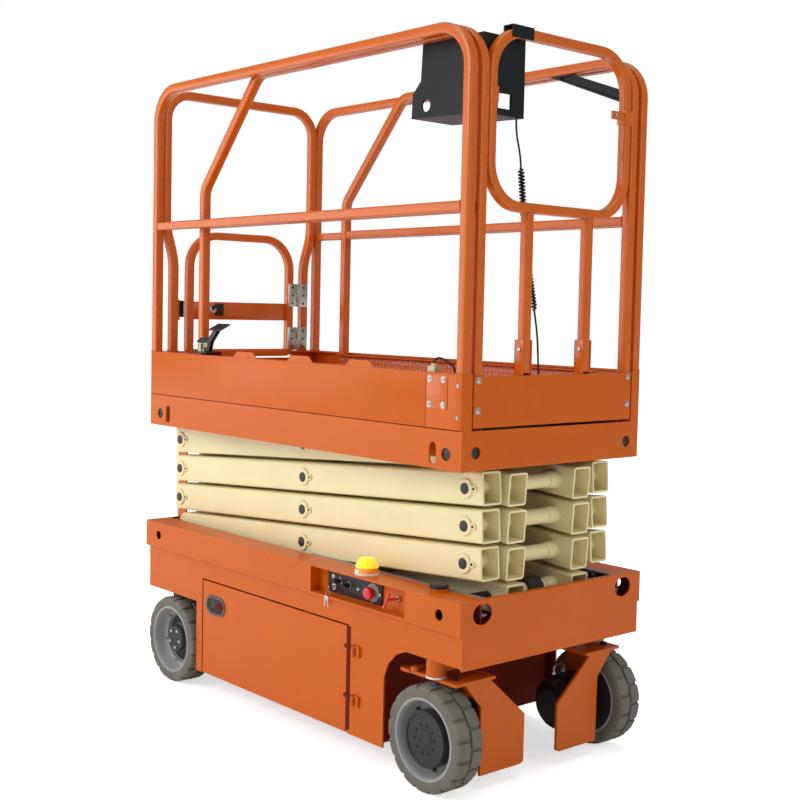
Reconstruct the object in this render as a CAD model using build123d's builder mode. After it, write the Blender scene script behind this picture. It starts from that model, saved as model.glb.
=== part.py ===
from build123d import *
from math import atan2, cos, degrees, pi, radians, sin, sqrt, tan
import os

os.makedirs("parts", exist_ok=True)

# Self-propelled electric scissor lift in its parked pose, in millimetres.
# +X points to the steered end, +Y to the machine's left, +Z up.
# The pieces are drawn about the middle of the chassis and saved with the origin
# on the ground under the middle of the whole machine, ladder to front tyres.

# Fits
shaft_gap = 0.06
seat_gap = 0.3
move_gap = 6.0

# Overall reach of the ladder at the rear
ladder_rear = -950.0

# Chassis
chassis_half_length = 881.0
chassis_half_width = 405.0
band_step = 10.0
body_half_width = chassis_half_width - band_step
chassis_top = 591.0
band_bottom = 493.0
front_plate_bottom = 393.0
body_bottom = 78.0
plate = 6.0
well_half_width = 305.0
well_floor = 460.0
rim_lip = 20.0
box_front = 506.0
box_rear = -529.0
skirt_front = 540.0
front_arch_top = 400.0
front_arch_radius = 100.0
rear_arch_top = 335.0
recess_rear = 175.0
recess_front = 640.0
recess_depth = 45.0
recess_wall_y = recess_depth - chassis_half_width
cap_x = 716.0
cap_y = 68.0 - chassis_half_width
cap_boss = 10.0
front_hole_y = chassis_half_width - 89.0
door_skin = 10.0
door_depth = 25.0

# Wheels
tyre_radius = 160.0
tyre_width = 100.0
rim_radius = 124.0
rim_wall = 10.0
wheel_track_half = 360.0
front_wheel_x = 737.0
rear_wheel_x = -690.0
axle_radius = 20.0
hub_radius = 86.0
dish_radius = 92.0
tyre_outer = wheel_track_half + tyre_width / 2
tyre_inner = wheel_track_half - tyre_width / 2
keel_half_width = tyre_inner - 10.0

# Steering knuckle
yoke_bottom = 330.0
yoke_plate = 10.0
kingpin_radius = 15.0
kingpin_boss_radius = 30.0
carrier_plate = 10.0
carrier_outer = tyre_inner - 12.0
carrier_inner = carrier_outer - carrier_plate
motor_radius = 52.0
motor_length = 118.0
guard_x = front_wheel_x + 91.0
steer_arm = 90.0
steer_pin_radius = 8.0

# Hatch doors
hatch_rear = -484.0
hatch_front = 356.0
hatch_top = 422.0
hatch_bottom = 80.0
hatch_hinge_x = 400.0
hatch_hinge_radius = 7.0
hatch_hinge_y = body_half_width + 8.0
hatch_hinge_zs = (190, 345)

# Scissor stack
levels = 4
rear_pin_x = -830.0
front_pin_x = 766.0
lowest_pin_z = 565.0
level_pitch = 112.0
arm_height = 100.0
arm_width = 78.0
arm_wall = 6.0
outer_arm_face = 284.0
inner_arm_face = 183.0
pin_radius = 17.0
bush_radius = 25.0
collar_radius = 30.0
collar_stand = 6.0
cross_tube_radius = 24.0
rear_overhang = 38.0
rear_overhang_enclosed = 29.0
front_overhang_outer = 70.0
front_overhang_inner = 79.0
roller_radius = 20.0
roller_width = 12.0

# Platform
platform_rear = -873.0
platform_front = 859.0
platform_half_width = 396.0
platform_bottom = 965.0
platform_joint = 1081.0
deck_top = 1121.0
deck_plate = 8.0
toe_top = 1245.0
tab_top = 1266.0
gate_notch_z = 1216.0

# Guard rails
rail_size = 32.0
rail_top = 2248.0
mid_rail_z = 1722.0
mid_rail_size = 30.0
rail_bend = 120.0
loop_bend = 125.0
brace_x = -600.0
brace_bend_z = 1850.0
brace_top_x = -262.0

# Derived
middle_x = (ladder_rear + front_wheel_x + tyre_radius) / 2
arm_rise = level_pitch
arm_run = front_pin_x - rear_pin_x
arm_length = sqrt(arm_run ** 2 + arm_rise ** 2)
arm_angle = degrees(atan2(arm_rise, arm_run))
mid_pin_x = (front_pin_x + rear_pin_x) / 2
ext_half_width = platform_half_width - 46.0
stub_y = platform_half_width - 84.0
gate_hinge_y = stub_y - 38.0
gate_y = gate_hinge_y - 34.0
gate_notch = gate_y + 22.0


def save(builder, name):
    builder.part.label = name
    export_step(builder.part.moved(Location((-middle_x, 0, 0))), "parts/" + name + ".step")


def block(x0, x1, y0, y1, z0, z1, mode=Mode.ADD):
    with Locations(((x0 + x1) / 2, (y0 + y1) / 2, (z0 + z1) / 2)):
        Box(abs(x1 - x0), abs(y1 - y0), abs(z1 - z0), mode=mode)


def both_blocks(x0, x1, y0, y1, z0, z1, mode=Mode.ADD):
    for side in (-1, 1):
        block(x0, x1, side * y0, side * y1, z0, z1, mode)


def rod_y(x, z, y0, y1, radius, mode=Mode.ADD):
    with Locations(Location((x, (y0 + y1) / 2, z), (90, 0, 0))):
        Cylinder(radius, abs(y1 - y0), mode=mode)


def rod_z(x, y, z0, z1, radius, mode=Mode.ADD):
    with Locations((x, y, (z0 + z1) / 2)):
        Cylinder(radius, abs(z1 - z0), mode=mode)


def side_profile(points, y0, y1, mode=Mode.ADD):
    # A plate outline in X and Z, made thick from y0 to y1
    low = min(y0, y1)
    high = max(y0, y1)
    with BuildSketch(Plane.XZ.offset(-high)) as outline:
        with BuildLine():
            Polyline(*points, close=True)
        make_face()
    extrude(to_extrude=outline.sketch, amount=high - low, mode=mode)


def end_profile(points, x0, x1, mode=Mode.ADD):
    # A plate outline in Y and Z, made thick from x0 to x1
    with BuildSketch(Plane.YZ.offset(min(x0, x1))) as outline:
        with BuildLine():
            Polyline(*points, close=True)
        make_face()
    extrude(to_extrude=outline.sketch, amount=abs(x1 - x0), mode=mode)


def tube_run(points, bend, size):
    # A square tube swept along a bent path
    with BuildLine() as run:
        if len(points) > 2:
            FilletPolyline(*points, radius=bend)
        else:
            Line(*points)
    start = run.line @ 0
    toward = run.line % 0
    across = Vector(1, 0, 0)
    if abs(toward.Y) < 0.5 and abs(points[0][1] - points[-1][1]) < 1:
        across = Vector(0, 1, 0)
    with BuildSketch(Plane(origin=start, x_dir=across, z_dir=toward)) as section:
        Rectangle(size, size)
    sweep(sections=section.sketch, path=run.line)


# Chassis frame
with BuildPart() as chassis_frame:
    end = chassis_half_length
    wide = chassis_half_width
    both_blocks(-end, end, wide - plate, wide, band_bottom, chassis_top)
    both_blocks(-end, end, well_half_width, wide, chassis_top - plate, chassis_top)
    both_blocks(-end, end - plate, well_half_width, well_half_width + plate, well_floor - plate, chassis_top)
    both_blocks(-end, end, body_half_width - plate, wide, band_bottom, band_bottom + plate)
    block(end - plate, end, -wide, wide, front_plate_bottom, chassis_top)
    block(end - rim_lip, end, -wide, wide, chassis_top - plate, chassis_top)
    block(-end, -end + plate, -wide, wide, band_bottom, chassis_top)
    inside = body_half_width - plate
    block(-end, -end + plate, -inside, inside, well_floor - plate, band_bottom)
    block(-end, end, -inside, inside, well_floor - plate, well_floor)
    # Lower body skirts with the wheel arches
    skirt = [
        (-end + 12, band_bottom + plate), (-end + 12, rear_arch_top),
        (box_rear, rear_arch_top), (box_rear, body_bottom),
        (skirt_front, body_bottom), (skirt_front, front_arch_top - front_arch_radius),
        (skirt_front + 18, front_arch_top - 55), (skirt_front + 55, front_arch_top - 18),
        (skirt_front + front_arch_radius, front_arch_top),
        (end, front_arch_top), (end, band_bottom + plate),
    ]
    for side in (-1, 1):
        side_profile(skirt, side * inside, side * body_half_width)
    block(box_front - plate, end, -body_half_width, body_half_width, front_arch_top, front_arch_top + plate)
    block(box_front - plate, box_front, -body_half_width, body_half_width, body_bottom, well_floor)
    block(box_rear, box_rear + plate, -body_half_width, body_half_width, body_bottom, well_floor)
    block(box_rear, box_front, -body_half_width, body_half_width, body_bottom, body_bottom + plate)
    block(box_rear, box_front, -plate / 2, plate / 2, body_bottom, well_floor)
    for side in (-1, 1):
        block(-end + 12, box_rear + plate, side * keel_half_width, side * body_half_width,
              rear_arch_top, rear_arch_top + plate)
        keel = [
            (-end + 12, well_floor), (-end + 12, 320.0), (-740.0, 95.0), (box_rear + plate, body_bottom),
            (box_rear + plate, well_floor),
        ]
        side_profile(keel, side * (keel_half_width - plate), side * keel_half_width)
    belly = [(-end + 12, 320.0), (-740.0, 95.0), (-736.0, 100.0), (-end + 18, 326.0)]
    side_profile(belly, -keel_half_width, keel_half_width)
    # Door openings
    for side in (-1, 1):
        block(hatch_rear - move_gap, hatch_front + 10, side * (body_half_width - door_depth),
              side * (body_half_width + 1),
              body_bottom - 1, hatch_top + move_gap, Mode.SUBTRACT)
    # Control recess in the right-hand rim
    rear = recess_rear
    front = recess_front
    wall = recess_wall_y
    block(rear, front, -wide - 1, wall, 502, chassis_top - plate, Mode.SUBTRACT)
    block(rear - plate, front + plate, wall - plate, wall, band_bottom, chassis_top)
    block(rear - plate, rear, -wide, wall, band_bottom, chassis_top)
    block(front, front + plate, -wide, wall, band_bottom, chassis_top)
    block(rear - plate, front + plate, -wide, wall, 502 - plate, 502)
    # Tie-down and service holes
    for side in (-1, 1):
        with Locations(Location((end - plate / 2, side * front_hole_y, 549), (0, 90, 0))):
            Cylinder(30, plate * 4, mode=Mode.SUBTRACT)
    for side in (-1, 1):
        for x in (-790, 790):
            rod_y(x, 543, side * (wide - 3 * plate), side * (wide + 5), 17, Mode.SUBTRACT)
    # Bearings of the lowest rear pins
    for side in (-1, 1):
        rod_y(rear_pin_x, lowest_pin_z, side * (outer_arm_face + move_gap), side * (well_half_width + 1), 26)
        rod_y(rear_pin_x, lowest_pin_z, side * (outer_arm_face + 2), side * (well_half_width + 12),
              pin_radius + shaft_gap, Mode.SUBTRACT)
    # Boss of the round cap beside the well
    rod_z(cap_x, cap_y, chassis_top, chassis_top + cap_boss, 30)
save(chassis_frame, "chassis_frame")

# Front axle beam with the kingpin bosses
yoke_top = yoke_bottom + yoke_plate
with BuildPart() as front_axle:
    block(front_wheel_x - 20, front_wheel_x + 24, -wheel_track_half, wheel_track_half,
          360, front_arch_top - seat_gap)
    for side in (-1, 1):
        rod_z(front_wheel_x, side * wheel_track_half, yoke_top + 6,
              front_arch_top - seat_gap, kingpin_boss_radius)
    for side in (-1, 1):
        rod_z(front_wheel_x, side * wheel_track_half, yoke_bottom, front_arch_top + 1,
              kingpin_radius + shaft_gap, Mode.SUBTRACT)
save(front_axle, "front_axle")

# Rear stub axles with brake drums
with BuildPart() as rear_axle:
    for side in (-1, 1):
        rod_y(rear_wheel_x, tyre_radius, side * (keel_half_width + seat_gap), side * (tyre_inner - 1), 60)
        rod_y(rear_wheel_x, tyre_radius, side * (tyre_inner - 5), side * (tyre_inner + 35), axle_radius)
save(rear_axle, "rear_axle")

# Battery pack on the right and hydraulic unit on the left
with BuildPart() as battery_pack:
    for place in range(4):
        x0 = -440 + place * 190
        block(x0, x0 + 182, door_depth - body_half_width, -110, body_bottom + plate + seat_gap, 360)
save(battery_pack, "battery_pack")

with BuildPart() as hydraulic_unit:
    block(-440, -120, 130, body_half_width - 35, body_bottom + plate + seat_gap, 330)
    block(-60, 200, 120, body_half_width - 27, body_bottom + plate + seat_gap, 250)
    with Locations(Location((-16, 245, 300), (0, 90, 0))):
        Cylinder(62, 250)
    block(-60, 60, 200, 290, 240, 300)
save(hydraulic_unit, "hydraulic_unit")

# Ground control panel in the rim recess
panel_back = recess_wall_y - plate - seat_gap
panel_face = panel_back - 5.7
stop_x = 454.0
stop_z = 543.0
with BuildPart() as ground_panel:
    block(226, 497, panel_face, panel_back, 508, chassis_top - plate - seat_gap)
    rod_y(stop_x, stop_z, panel_face, panel_face - 12, 14)
    rod_y(stop_x, stop_z, panel_face - 12, panel_face - 30, 20)
    for x, z in ((290, 551), (336, 545)):
        rod_y(x, z, panel_face, panel_face - 8, 12)
save(ground_panel, "ground_panel")

# Beacon on the rim
beacon_x = 404.0
beacon_y = 48.0 - chassis_half_width
with BuildPart() as beacon:
    rod_z(beacon_x, beacon_y, chassis_top + seat_gap, chassis_top + 16, 40)
    with Locations((beacon_x, beacon_y, chassis_top + 34)):
        Cone(38, 24, 38)
save(beacon, "beacon")

# Round cap beside the well
with BuildPart() as rim_cap:
    rod_z(cap_x, cap_y, chassis_top + cap_boss + seat_gap, chassis_top + 22, 29)
    chamfer(rim_cap.edges().group_by(Axis.Z)[-1], 4)
save(rim_cap, "rim_cap")

# Grey guide tracks of the lowest front rollers
roller_in = outer_arm_face + 3
roller_out = roller_in + roller_width
with BuildPart() as guide_tracks:
    track_low = lowest_pin_z - roller_radius - seat_gap
    track_high = lowest_pin_z + roller_radius + seat_gap
    track_end = chassis_half_length - plate
    both_blocks(30, track_end - 7, roller_in - 2, well_half_width - seat_gap, track_low - 6, track_low)
    both_blocks(30, track_end - 15, roller_in - 2, well_half_width - seat_gap, track_high, chassis_top)
save(guide_tracks, "guide_tracks")

# Rear ladder
with BuildPart() as ladder:
    both_blocks(ladder_rear, -890, 216, 224, 260, 850)
    for rung in range(5):
        rod_y(-922, 300 + rung * 125, -217, 217, 13)
    both_blocks(-892, -chassis_half_length - seat_gap, 200, 224, 500, 580)
save(ladder, "ladder")


def hatch(side, name):
    skin = side * (body_half_width - door_skin)
    with BuildPart() as door:
        block(hatch_rear, hatch_front, skin, side * body_half_width, hatch_bottom, hatch_top)
        block(hatch_rear + 8, hatch_front - 8, side * (body_half_width - 19), side * (body_half_width - 5),
              hatch_bottom + 8, hatch_top - 8)
        block(hatch_rear + 24, hatch_front - 24, side * (body_half_width - door_depth), skin,
              hatch_bottom + 24, hatch_top - 24, Mode.SUBTRACT)
        for z in hatch_hinge_zs:
            block(hatch_front - 30, hatch_hinge_x, side * body_half_width, side * (body_half_width + 5),
                  z, z + 30)
            rod_z(hatch_hinge_x, side * hatch_hinge_y, z, z + 30, hatch_hinge_radius)
            rod_z(hatch_hinge_x, side * hatch_hinge_y, z - 20, z + 30, 3.5)
    save(door, name)


hatch(-1, "hatch_right")
hatch(1, "hatch_left")

# Fixed hinge halves of the two hatch doors
with BuildPart() as hatch_hinges:
    for side in (-1, 1):
        for z in hatch_hinge_zs:
            block(hatch_hinge_x - 6, hatch_hinge_x + 22, side * (body_half_width + seat_gap),
                  side * (body_half_width + 5), z - 26, z - 1)
            rod_z(hatch_hinge_x, side * hatch_hinge_y, z - 26, z - 1, hatch_hinge_radius)
            rod_z(hatch_hinge_x, side * hatch_hinge_y, z - 22, z, 3.5 + shaft_gap, Mode.SUBTRACT)
save(hatch_hinges, "hatch_hinges")


def knuckle(side, name):
    centre = side * wheel_track_half
    with BuildPart() as yoke:
        plate_outline = [
            (front_wheel_x - 97, centre - side * 154), (guard_x + 5, centre - side * 154),
            (guard_x + 5, centre + side * 10), (front_wheel_x - 149, centre + side * 10),
            (front_wheel_x - 149, centre - side * 80),
        ]
        with BuildSketch(Plane.XY.offset(yoke_bottom)):
            with BuildLine():
                Polyline(*plate_outline, close=True)
            make_face()
        extrude(amount=yoke_plate)
        block(front_wheel_x - 60, front_wheel_x + 60, side * carrier_inner, side * carrier_outer,
              100, yoke_bottom + 2)
        guard = [
            (centre + side * 5, yoke_top), (centre - side * 124, yoke_top), (centre - side * 285, 200.0),
            (centre - side * 285, 52.0), (centre - side * 272, 45.0), (centre - side * 98, 45.0),
            (centre - side * 95, 255.0), (centre - side * 30, yoke_bottom), (centre + side * 5, yoke_bottom),
        ]
        end_profile(guard, guard_x - 5, guard_x + 5)
        block(front_wheel_x + 50, guard_x, side * carrier_inner, side * carrier_outer, 290, 335)
        rod_z(front_wheel_x, centre, yoke_top, yoke_top + 6 - seat_gap, 29)
        rod_z(front_wheel_x, centre, yoke_top, front_arch_top - 4, kingpin_radius)
        block(front_wheel_x - steer_arm - 14, front_wheel_x - 137, centre - 14, centre + 14,
              yoke_bottom, yoke_top)
        rod_z(front_wheel_x - steer_arm, centre, yoke_top - 2, yoke_top + 14, steer_pin_radius)
        rod_y(front_wheel_x, tyre_radius, side * (carrier_inner - 2), side * (carrier_outer + 2),
              axle_radius + shaft_gap, Mode.SUBTRACT)
    save(yoke, name)


knuckle(-1, "knuckle_right")
knuckle(1, "knuckle_left")


def drive_motor(side, name):
    face = carrier_inner - seat_gap
    with BuildPart() as motor:
        rod_y(front_wheel_x, tyre_radius, side * face, side * (face - 30), motor_radius + 6)
        rod_y(front_wheel_x, tyre_radius, side * (face - 30), side * (face - motor_length), motor_radius)
        rod_y(front_wheel_x, tyre_radius, side * (face + 2), side * (face - 20), axle_radius + 1,
              Mode.SUBTRACT)
        block(front_wheel_x - 30, front_wheel_x + 30, side * (face - 90), side * (face - 40),
              tyre_radius + 40, tyre_radius + 66)
    save(motor, name)


drive_motor(-1, "drive_motor_right")
drive_motor(1, "drive_motor_left")

# Tie bar between the steering arms
with BuildPart() as tie_bar:
    tie_x = front_wheel_x - steer_arm
    tie_low = yoke_top + seat_gap
    block(tie_x - 7, tie_x + 7, -wheel_track_half, wheel_track_half, tie_low, tie_low + 12)
    for side in (-1, 1):
        rod_z(tie_x, side * wheel_track_half, tie_low, tie_low + 12, 15)
    for side in (-1, 1):
        rod_z(tie_x, side * wheel_track_half, tie_low - 1, tie_low + 13,
              steer_pin_radius + shaft_gap, Mode.SUBTRACT)
save(tie_bar, "tie_bar")


def wheel(x, side, name, driven):
    centre = side * wheel_track_half
    outer = side * tyre_outer
    inner = side * tyre_inner
    with BuildPart() as tyre:
        rod_y(x, tyre_radius, inner, outer, tyre_radius)
        chamfer(tyre.edges().filter_by(GeomType.CIRCLE), 8)
        rod_y(x, tyre_radius, inner - side, outer + side, rim_radius + 0.2, Mode.SUBTRACT)
    save(tyre, name + "_tyre")
    with BuildPart() as rim:
        rod_y(x, tyre_radius, inner + side * 2, outer - side * 2, rim_radius)
        rod_y(x, tyre_radius, inner + side * 35, inner - side, rim_radius - rim_wall, Mode.SUBTRACT)
        if driven:
            rod_y(x, tyre_radius, outer - side * 45, outer + side, rim_radius - rim_wall, Mode.SUBTRACT)
            rod_y(x, tyre_radius, outer - side * 46, outer - side * 6, hub_radius)
            rod_y(x, tyre_radius, side * (carrier_inner - 12), inner + side * 36, axle_radius)
        else:
            rod_y(x, tyre_radius, outer - side * 45, outer + side, rim_radius - rim_wall, Mode.SUBTRACT)
            rod_y(x, tyre_radius, outer - side * 57, outer + side, dish_radius, Mode.SUBTRACT)
            rod_y(x, tyre_radius, outer - side * 58, outer - side * 24, 50)
            rod_y(x, tyre_radius, inner + side * 10, inner + side * 36, 38)
            rod_y(x, tyre_radius, inner - side, inner + side * 38, axle_radius + shaft_gap, Mode.SUBTRACT)
    save(rim, name + "_rim")


wheel(front_wheel_x, -1, "front_right", True)
wheel(front_wheel_x, 1, "front_left", True)
wheel(rear_wheel_x, -1, "rear_right", False)
wheel(rear_wheel_x, 1, "rear_left", False)


def arm_pair(level, outer, name):
    # Outer arms rise to the front, inner arms rise to the rear
    low_z = lowest_pin_z + (level - 1) * level_pitch
    mid_z = low_z + level_pitch / 2
    tilt = -arm_angle if outer else arm_angle
    face = outer_arm_face if outer else inner_arm_face
    inner_face = face - arm_width
    ahead = front_overhang_outer if outer else front_overhang_inner
    rear_z = low_z if outer else low_z + level_pitch
    front_z = low_z + level_pitch if outer else low_z
    lowest = level == 1
    highest = level == levels
    with BuildPart() as arms:
        for side in (-1, 1):
            middle = side * (face + inner_face) / 2
            behind = rear_overhang
            if (outer and lowest) or (not outer and highest):
                behind = rear_overhang_enclosed
            length = arm_length + ahead + behind
            shift = (ahead - behind) / 2
            with Locations(Location((mid_pin_x, middle, mid_z), (0, tilt, 0))):
                with Locations((shift, 0, 0)):
                    Box(length, arm_width, arm_height)
                    Box(length + 2, arm_width - 2 * arm_wall, arm_height - 2 * arm_wall, mode=Mode.SUBTRACT)
            # Bushes across the tube at its three pins
            for x, z in ((rear_pin_x, rear_z), (mid_pin_x, mid_z), (front_pin_x, front_z)):
                rod_y(x, z, side * inner_face, side * face, bush_radius)
        # Cut corners where the pin sits beside an end plate
        if (outer and lowest) or (not outer and highest):
            flip = 1 if outer else -1
            corner = [
                (rear_pin_x - 60, rear_z - flip * 4), (rear_pin_x - 33, rear_z - flip * 4),
                (rear_pin_x + 17, rear_z + flip * 50), (rear_pin_x + 17, rear_z + flip * 80),
                (rear_pin_x - 60, rear_z + flip * 80),
            ]
            for side in (-1, 1):
                side_profile(corner, side * (inner_face - 1), side * (face + 1), Mode.SUBTRACT)
        for side in (-1, 1):
            if outer:
                # Own pins: the middle, the front, and the rear
                pinned = [(mid_pin_x, mid_z)]
                if not highest:
                    pinned.append((front_pin_x, front_z))
                if not lowest:
                    pinned.append((rear_pin_x, rear_z))
                for x, z in pinned:
                    rod_y(x, z, side * 100, side * (face + collar_stand + 2), pin_radius)
                    rod_y(x, z, side * (face - 1), side * (face + collar_stand), collar_radius)
                    rod_y(x, z, side * (inner_arm_face + seat_gap), side * inner_face, collar_radius)
                if highest:
                    rod_y(front_pin_x, front_z, side * (face - 4), side * roller_out, pin_radius)
                    rod_y(front_pin_x, front_z, side * roller_in, side * roller_out, roller_radius)
                if lowest:
                    rod_y(rear_pin_x, rear_z, side * (face - 4), side * (well_half_width + 8), pin_radius)
            else:
                if lowest:
                    rod_y(front_pin_x, front_z, side * (face - 4), side * roller_out, pin_radius)
                    rod_y(front_pin_x, front_z, side * roller_in, side * roller_out, roller_radius)
                if highest:
                    rod_y(rear_pin_x, rear_z, side * (face - 4), side * 204, pin_radius)
        if not outer:
            # Cross tubes on the pin lines
            rod_y(front_pin_x, front_z, -inner_face, inner_face, cross_tube_radius)
            rod_y(rear_pin_x, rear_z, -inner_face, inner_face, cross_tube_radius)
            bore = pin_radius + shaft_gap
            for side in (-1, 1):
                rod_y(mid_pin_x, mid_z, side * (inner_face - 6), side * (face + 1), bore, Mode.SUBTRACT)
                if not lowest:
                    rod_y(front_pin_x, front_z, side * 96, side * (face + 1), bore, Mode.SUBTRACT)
                if not highest:
                    rod_y(rear_pin_x, rear_z, side * 96, side * (face + 1), bore, Mode.SUBTRACT)
            if level == 2:
                # Lugs for the lift cylinder rod
                lug = [
                    (rear_pin_x, rear_z + 22), (rear_pin_x + 72, rear_z + 20),
                    (rear_pin_x + 102, rear_z - 10), (rear_pin_x + 84, rear_z - 12),
                    (rear_pin_x + 60, rear_z - 10), (rear_pin_x, rear_z - 22),
                ]
                for side in (-1, 1):
                    side_profile(lug, side * 34, side * 44)
    save(arms, name)


for level in range(1, levels + 1):
    arm_pair(level, True, "outer_arms_" + str(level))
    arm_pair(level, False, "inner_arms_" + str(level))

# Lift cylinder from the lowest front cross tube to the lugs of the second inner arms
eye_x = rear_pin_x + 74
eye_z = lowest_pin_z + 2 * level_pitch - 26
cylinder_run = front_pin_x - eye_x
cylinder_rise = eye_z - lowest_pin_z
cylinder_angle = degrees(atan2(cylinder_rise, cylinder_run))
cylinder_length = sqrt(cylinder_run ** 2 + cylinder_rise ** 2)
along = Vector(-cylinder_run, 0, cylinder_rise).normalized()
barrel_line = Plane(origin=(front_pin_x, 0, lowest_pin_z), x_dir=(0, 1, 0), z_dir=along)
barrel_radius = 45.0
rod_radius = 27.0
with BuildPart() as cylinder_barrel:
    rod_y(front_pin_x, lowest_pin_z, -30, 30, 38)
    with BuildSketch(barrel_line.offset(26)):
        Circle(30)
    extrude(amount=40)
    with BuildSketch(barrel_line.offset(60)):
        Circle(barrel_radius)
    extrude(amount=cylinder_length - 60 - 110)
    rod_y(front_pin_x, lowest_pin_z, -31, 31, cross_tube_radius + shaft_gap, Mode.SUBTRACT)
    with BuildSketch(barrel_line.offset(120)):
        Circle(rod_radius + shaft_gap)
    extrude(amount=cylinder_length, mode=Mode.SUBTRACT)
save(cylinder_barrel, "cylinder_barrel")

with BuildPart() as cylinder_rod:
    with BuildSketch(barrel_line.offset(130)):
        Circle(rod_radius)
    extrude(amount=cylinder_length - 130 - 20)
    rod_y(eye_x, eye_z, -27, 27, 30)
    rod_y(eye_x, eye_z, -28, 28, 15, Mode.SUBTRACT)
save(cylinder_rod, "cylinder_rod")

# Platform frame: beam, toe boards, pin brackets and roller tracks
with BuildPart() as platform_frame:
    wide = platform_half_width
    both_blocks(platform_rear, platform_front, wide - plate, wide, platform_bottom, toe_top)
    block(platform_rear, platform_rear + plate, -wide, wide, platform_bottom, toe_top)
    block(platform_front - plate, platform_front, -wide, wide, platform_bottom, platform_joint)
    both_blocks(platform_rear, platform_front, wide - 34, wide, toe_top - plate, toe_top)
    block(platform_rear, platform_rear + 36, -wide, wide, toe_top - plate, toe_top)
    both_blocks(platform_front - 44, platform_front, wide - 38, wide, platform_joint, toe_top)
    # Notch for the gate's foot and the tabs on the toe boards
    block(platform_rear - 1, platform_rear + 37, -gate_notch, gate_notch, gate_notch_z, toe_top + 1,
          Mode.SUBTRACT)
    for x in (-239, 81, 392):
        tab = [
            (x - 70, toe_top - plate), (x - 70, toe_top), (x - 46, tab_top),
            (x + 46, tab_top), (x + 70, toe_top), (x + 70, toe_top - plate),
        ]
        for side in (-1, 1):
            side_profile(tab, side * (wide - plate), side * wide)
    for side in (-1, 1):
        for x in (-801, 794):
            rod_y(x, 1012, side * (wide - 10), side * (wide + 2), 16, Mode.SUBTRACT)
        for x in (-746, 737):
            block(x - 9, x + 9, side * (wide - 10), side * (wide + 2), 984, 1040, Mode.SUBTRACT)
    top_pin_z = lowest_pin_z + levels * level_pitch
    deck_bottom = deck_top - deck_plate
    track_front = platform_front - 14
    for side in (-1, 1):
        block(platform_rear + plate, rear_pin_x + 44, side * 189, side * 200, top_pin_z - 28,
              deck_bottom - seat_gap)
        rod_y(rear_pin_x, top_pin_z, side * 188, side * 205, pin_radius + shaft_gap, Mode.SUBTRACT)
        block(30, track_front, side * 303, side * 309, top_pin_z - 27, deck_bottom - seat_gap)
        block(30, track_front, side * 285, side * 304, top_pin_z - 26, top_pin_z - roller_radius - seat_gap)
        block(30, track_front, side * 285, side * 304, top_pin_z + roller_radius + seat_gap, top_pin_z + 27)
        for x in (-600, -300, 33, 300, 600):
            block(x, x + 6, side * 308, side * (wide - 1), 1020, deck_bottom - seat_gap)
save(platform_frame, "platform_frame")

with BuildPart() as deck:
    deck_side = wide - plate - seat_gap
    block(platform_rear + plate + seat_gap, platform_front - 14, -deck_side, deck_side, deck_bottom, deck_top)
    both_blocks(platform_front - 45, platform_front, ext_half_width, wide, deck_bottom - 1, deck_top + 1,
                Mode.SUBTRACT)
save(deck, "deck")

# Guard rails of the main platform
half_rail = rail_size / 2
rail_y = platform_half_width - half_rail
rear_post_x = platform_rear + half_rail
front_post_x = platform_front - half_rail
rail_line_z = rail_top - half_rail
foot_z = toe_top + seat_gap
with BuildPart() as side_rails:
    for side in (-1, 1):
        y = side * rail_y
        tube_run([(rear_post_x, y, foot_z), (rear_post_x, y, rail_line_z), (front_post_x, y, rail_line_z),
                  (front_post_x, y, foot_z)], rail_bend, rail_size)
        tube_run([(rear_post_x, y, mid_rail_z), (front_post_x, y, mid_rail_z)], 0, mid_rail_size)
save(side_rails, "side_rails")

# Rear rail: an arch that narrows around the gate opening
arch_y = rail_y - rail_size - seat_gap
with BuildPart() as rear_rail:
    for side in (-1, 1):
        tube_run([(rear_post_x, side * stub_y, foot_z), (rear_post_x, side * stub_y, 1600),
                  (rear_post_x, side * arch_y, 1722), (rear_post_x, side * arch_y, rail_line_z),
                  (rear_post_x, 0, rail_line_z)], [300, 300, 100], rail_size)
save(rear_rail, "rear_rail")

gate_size = 30.0
gate_top = 1700.0
gate_bottom = 1238.0
with BuildPart() as gate:
    for side in (-1, 1):
        tube_run([(rear_post_x, 0, gate_bottom), (rear_post_x, side * gate_y, gate_bottom),
                  (rear_post_x, side * gate_y, gate_top), (rear_post_x, 0, gate_top)],
                 [20, loop_bend], gate_size)
    block(rear_post_x - 3, rear_post_x + 3, -gate_y, gate_y, 1370, 1440)
    for z in (1245, 1425):
        block(rear_post_x + 15, rear_post_x + 19, gate_y - 14, gate_hinge_y - 8, z + 3, z + 98)
        block(rear_post_x + 15, rear_post_x + 19, gate_y - 14, gate_hinge_y, z + 3, z + 50)
        rod_z(rear_post_x + 17, gate_hinge_y, z + 3, z + 50, 6)
        rod_z(rear_post_x + 17, gate_hinge_y, z + 3, z + 90, 3)
save(gate, "gate")

with BuildPart() as gate_hinges:
    for z in (1245, 1425):
        block(rear_post_x + 16 + seat_gap, rear_post_x + 20, gate_hinge_y + 8, stub_y + 14, z + 3, z + 98)
        block(rear_post_x + 16 + seat_gap, rear_post_x + 20, gate_hinge_y, stub_y + 14, z + 52, z + 98)
        rod_z(rear_post_x + 17, gate_hinge_y, z + 52, z + 98, 6)
        rod_z(rear_post_x + 17, gate_hinge_y, z + 51, z + 94, 3 + shaft_gap, Mode.SUBTRACT)
save(gate_hinges, "gate_hinges")

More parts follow.
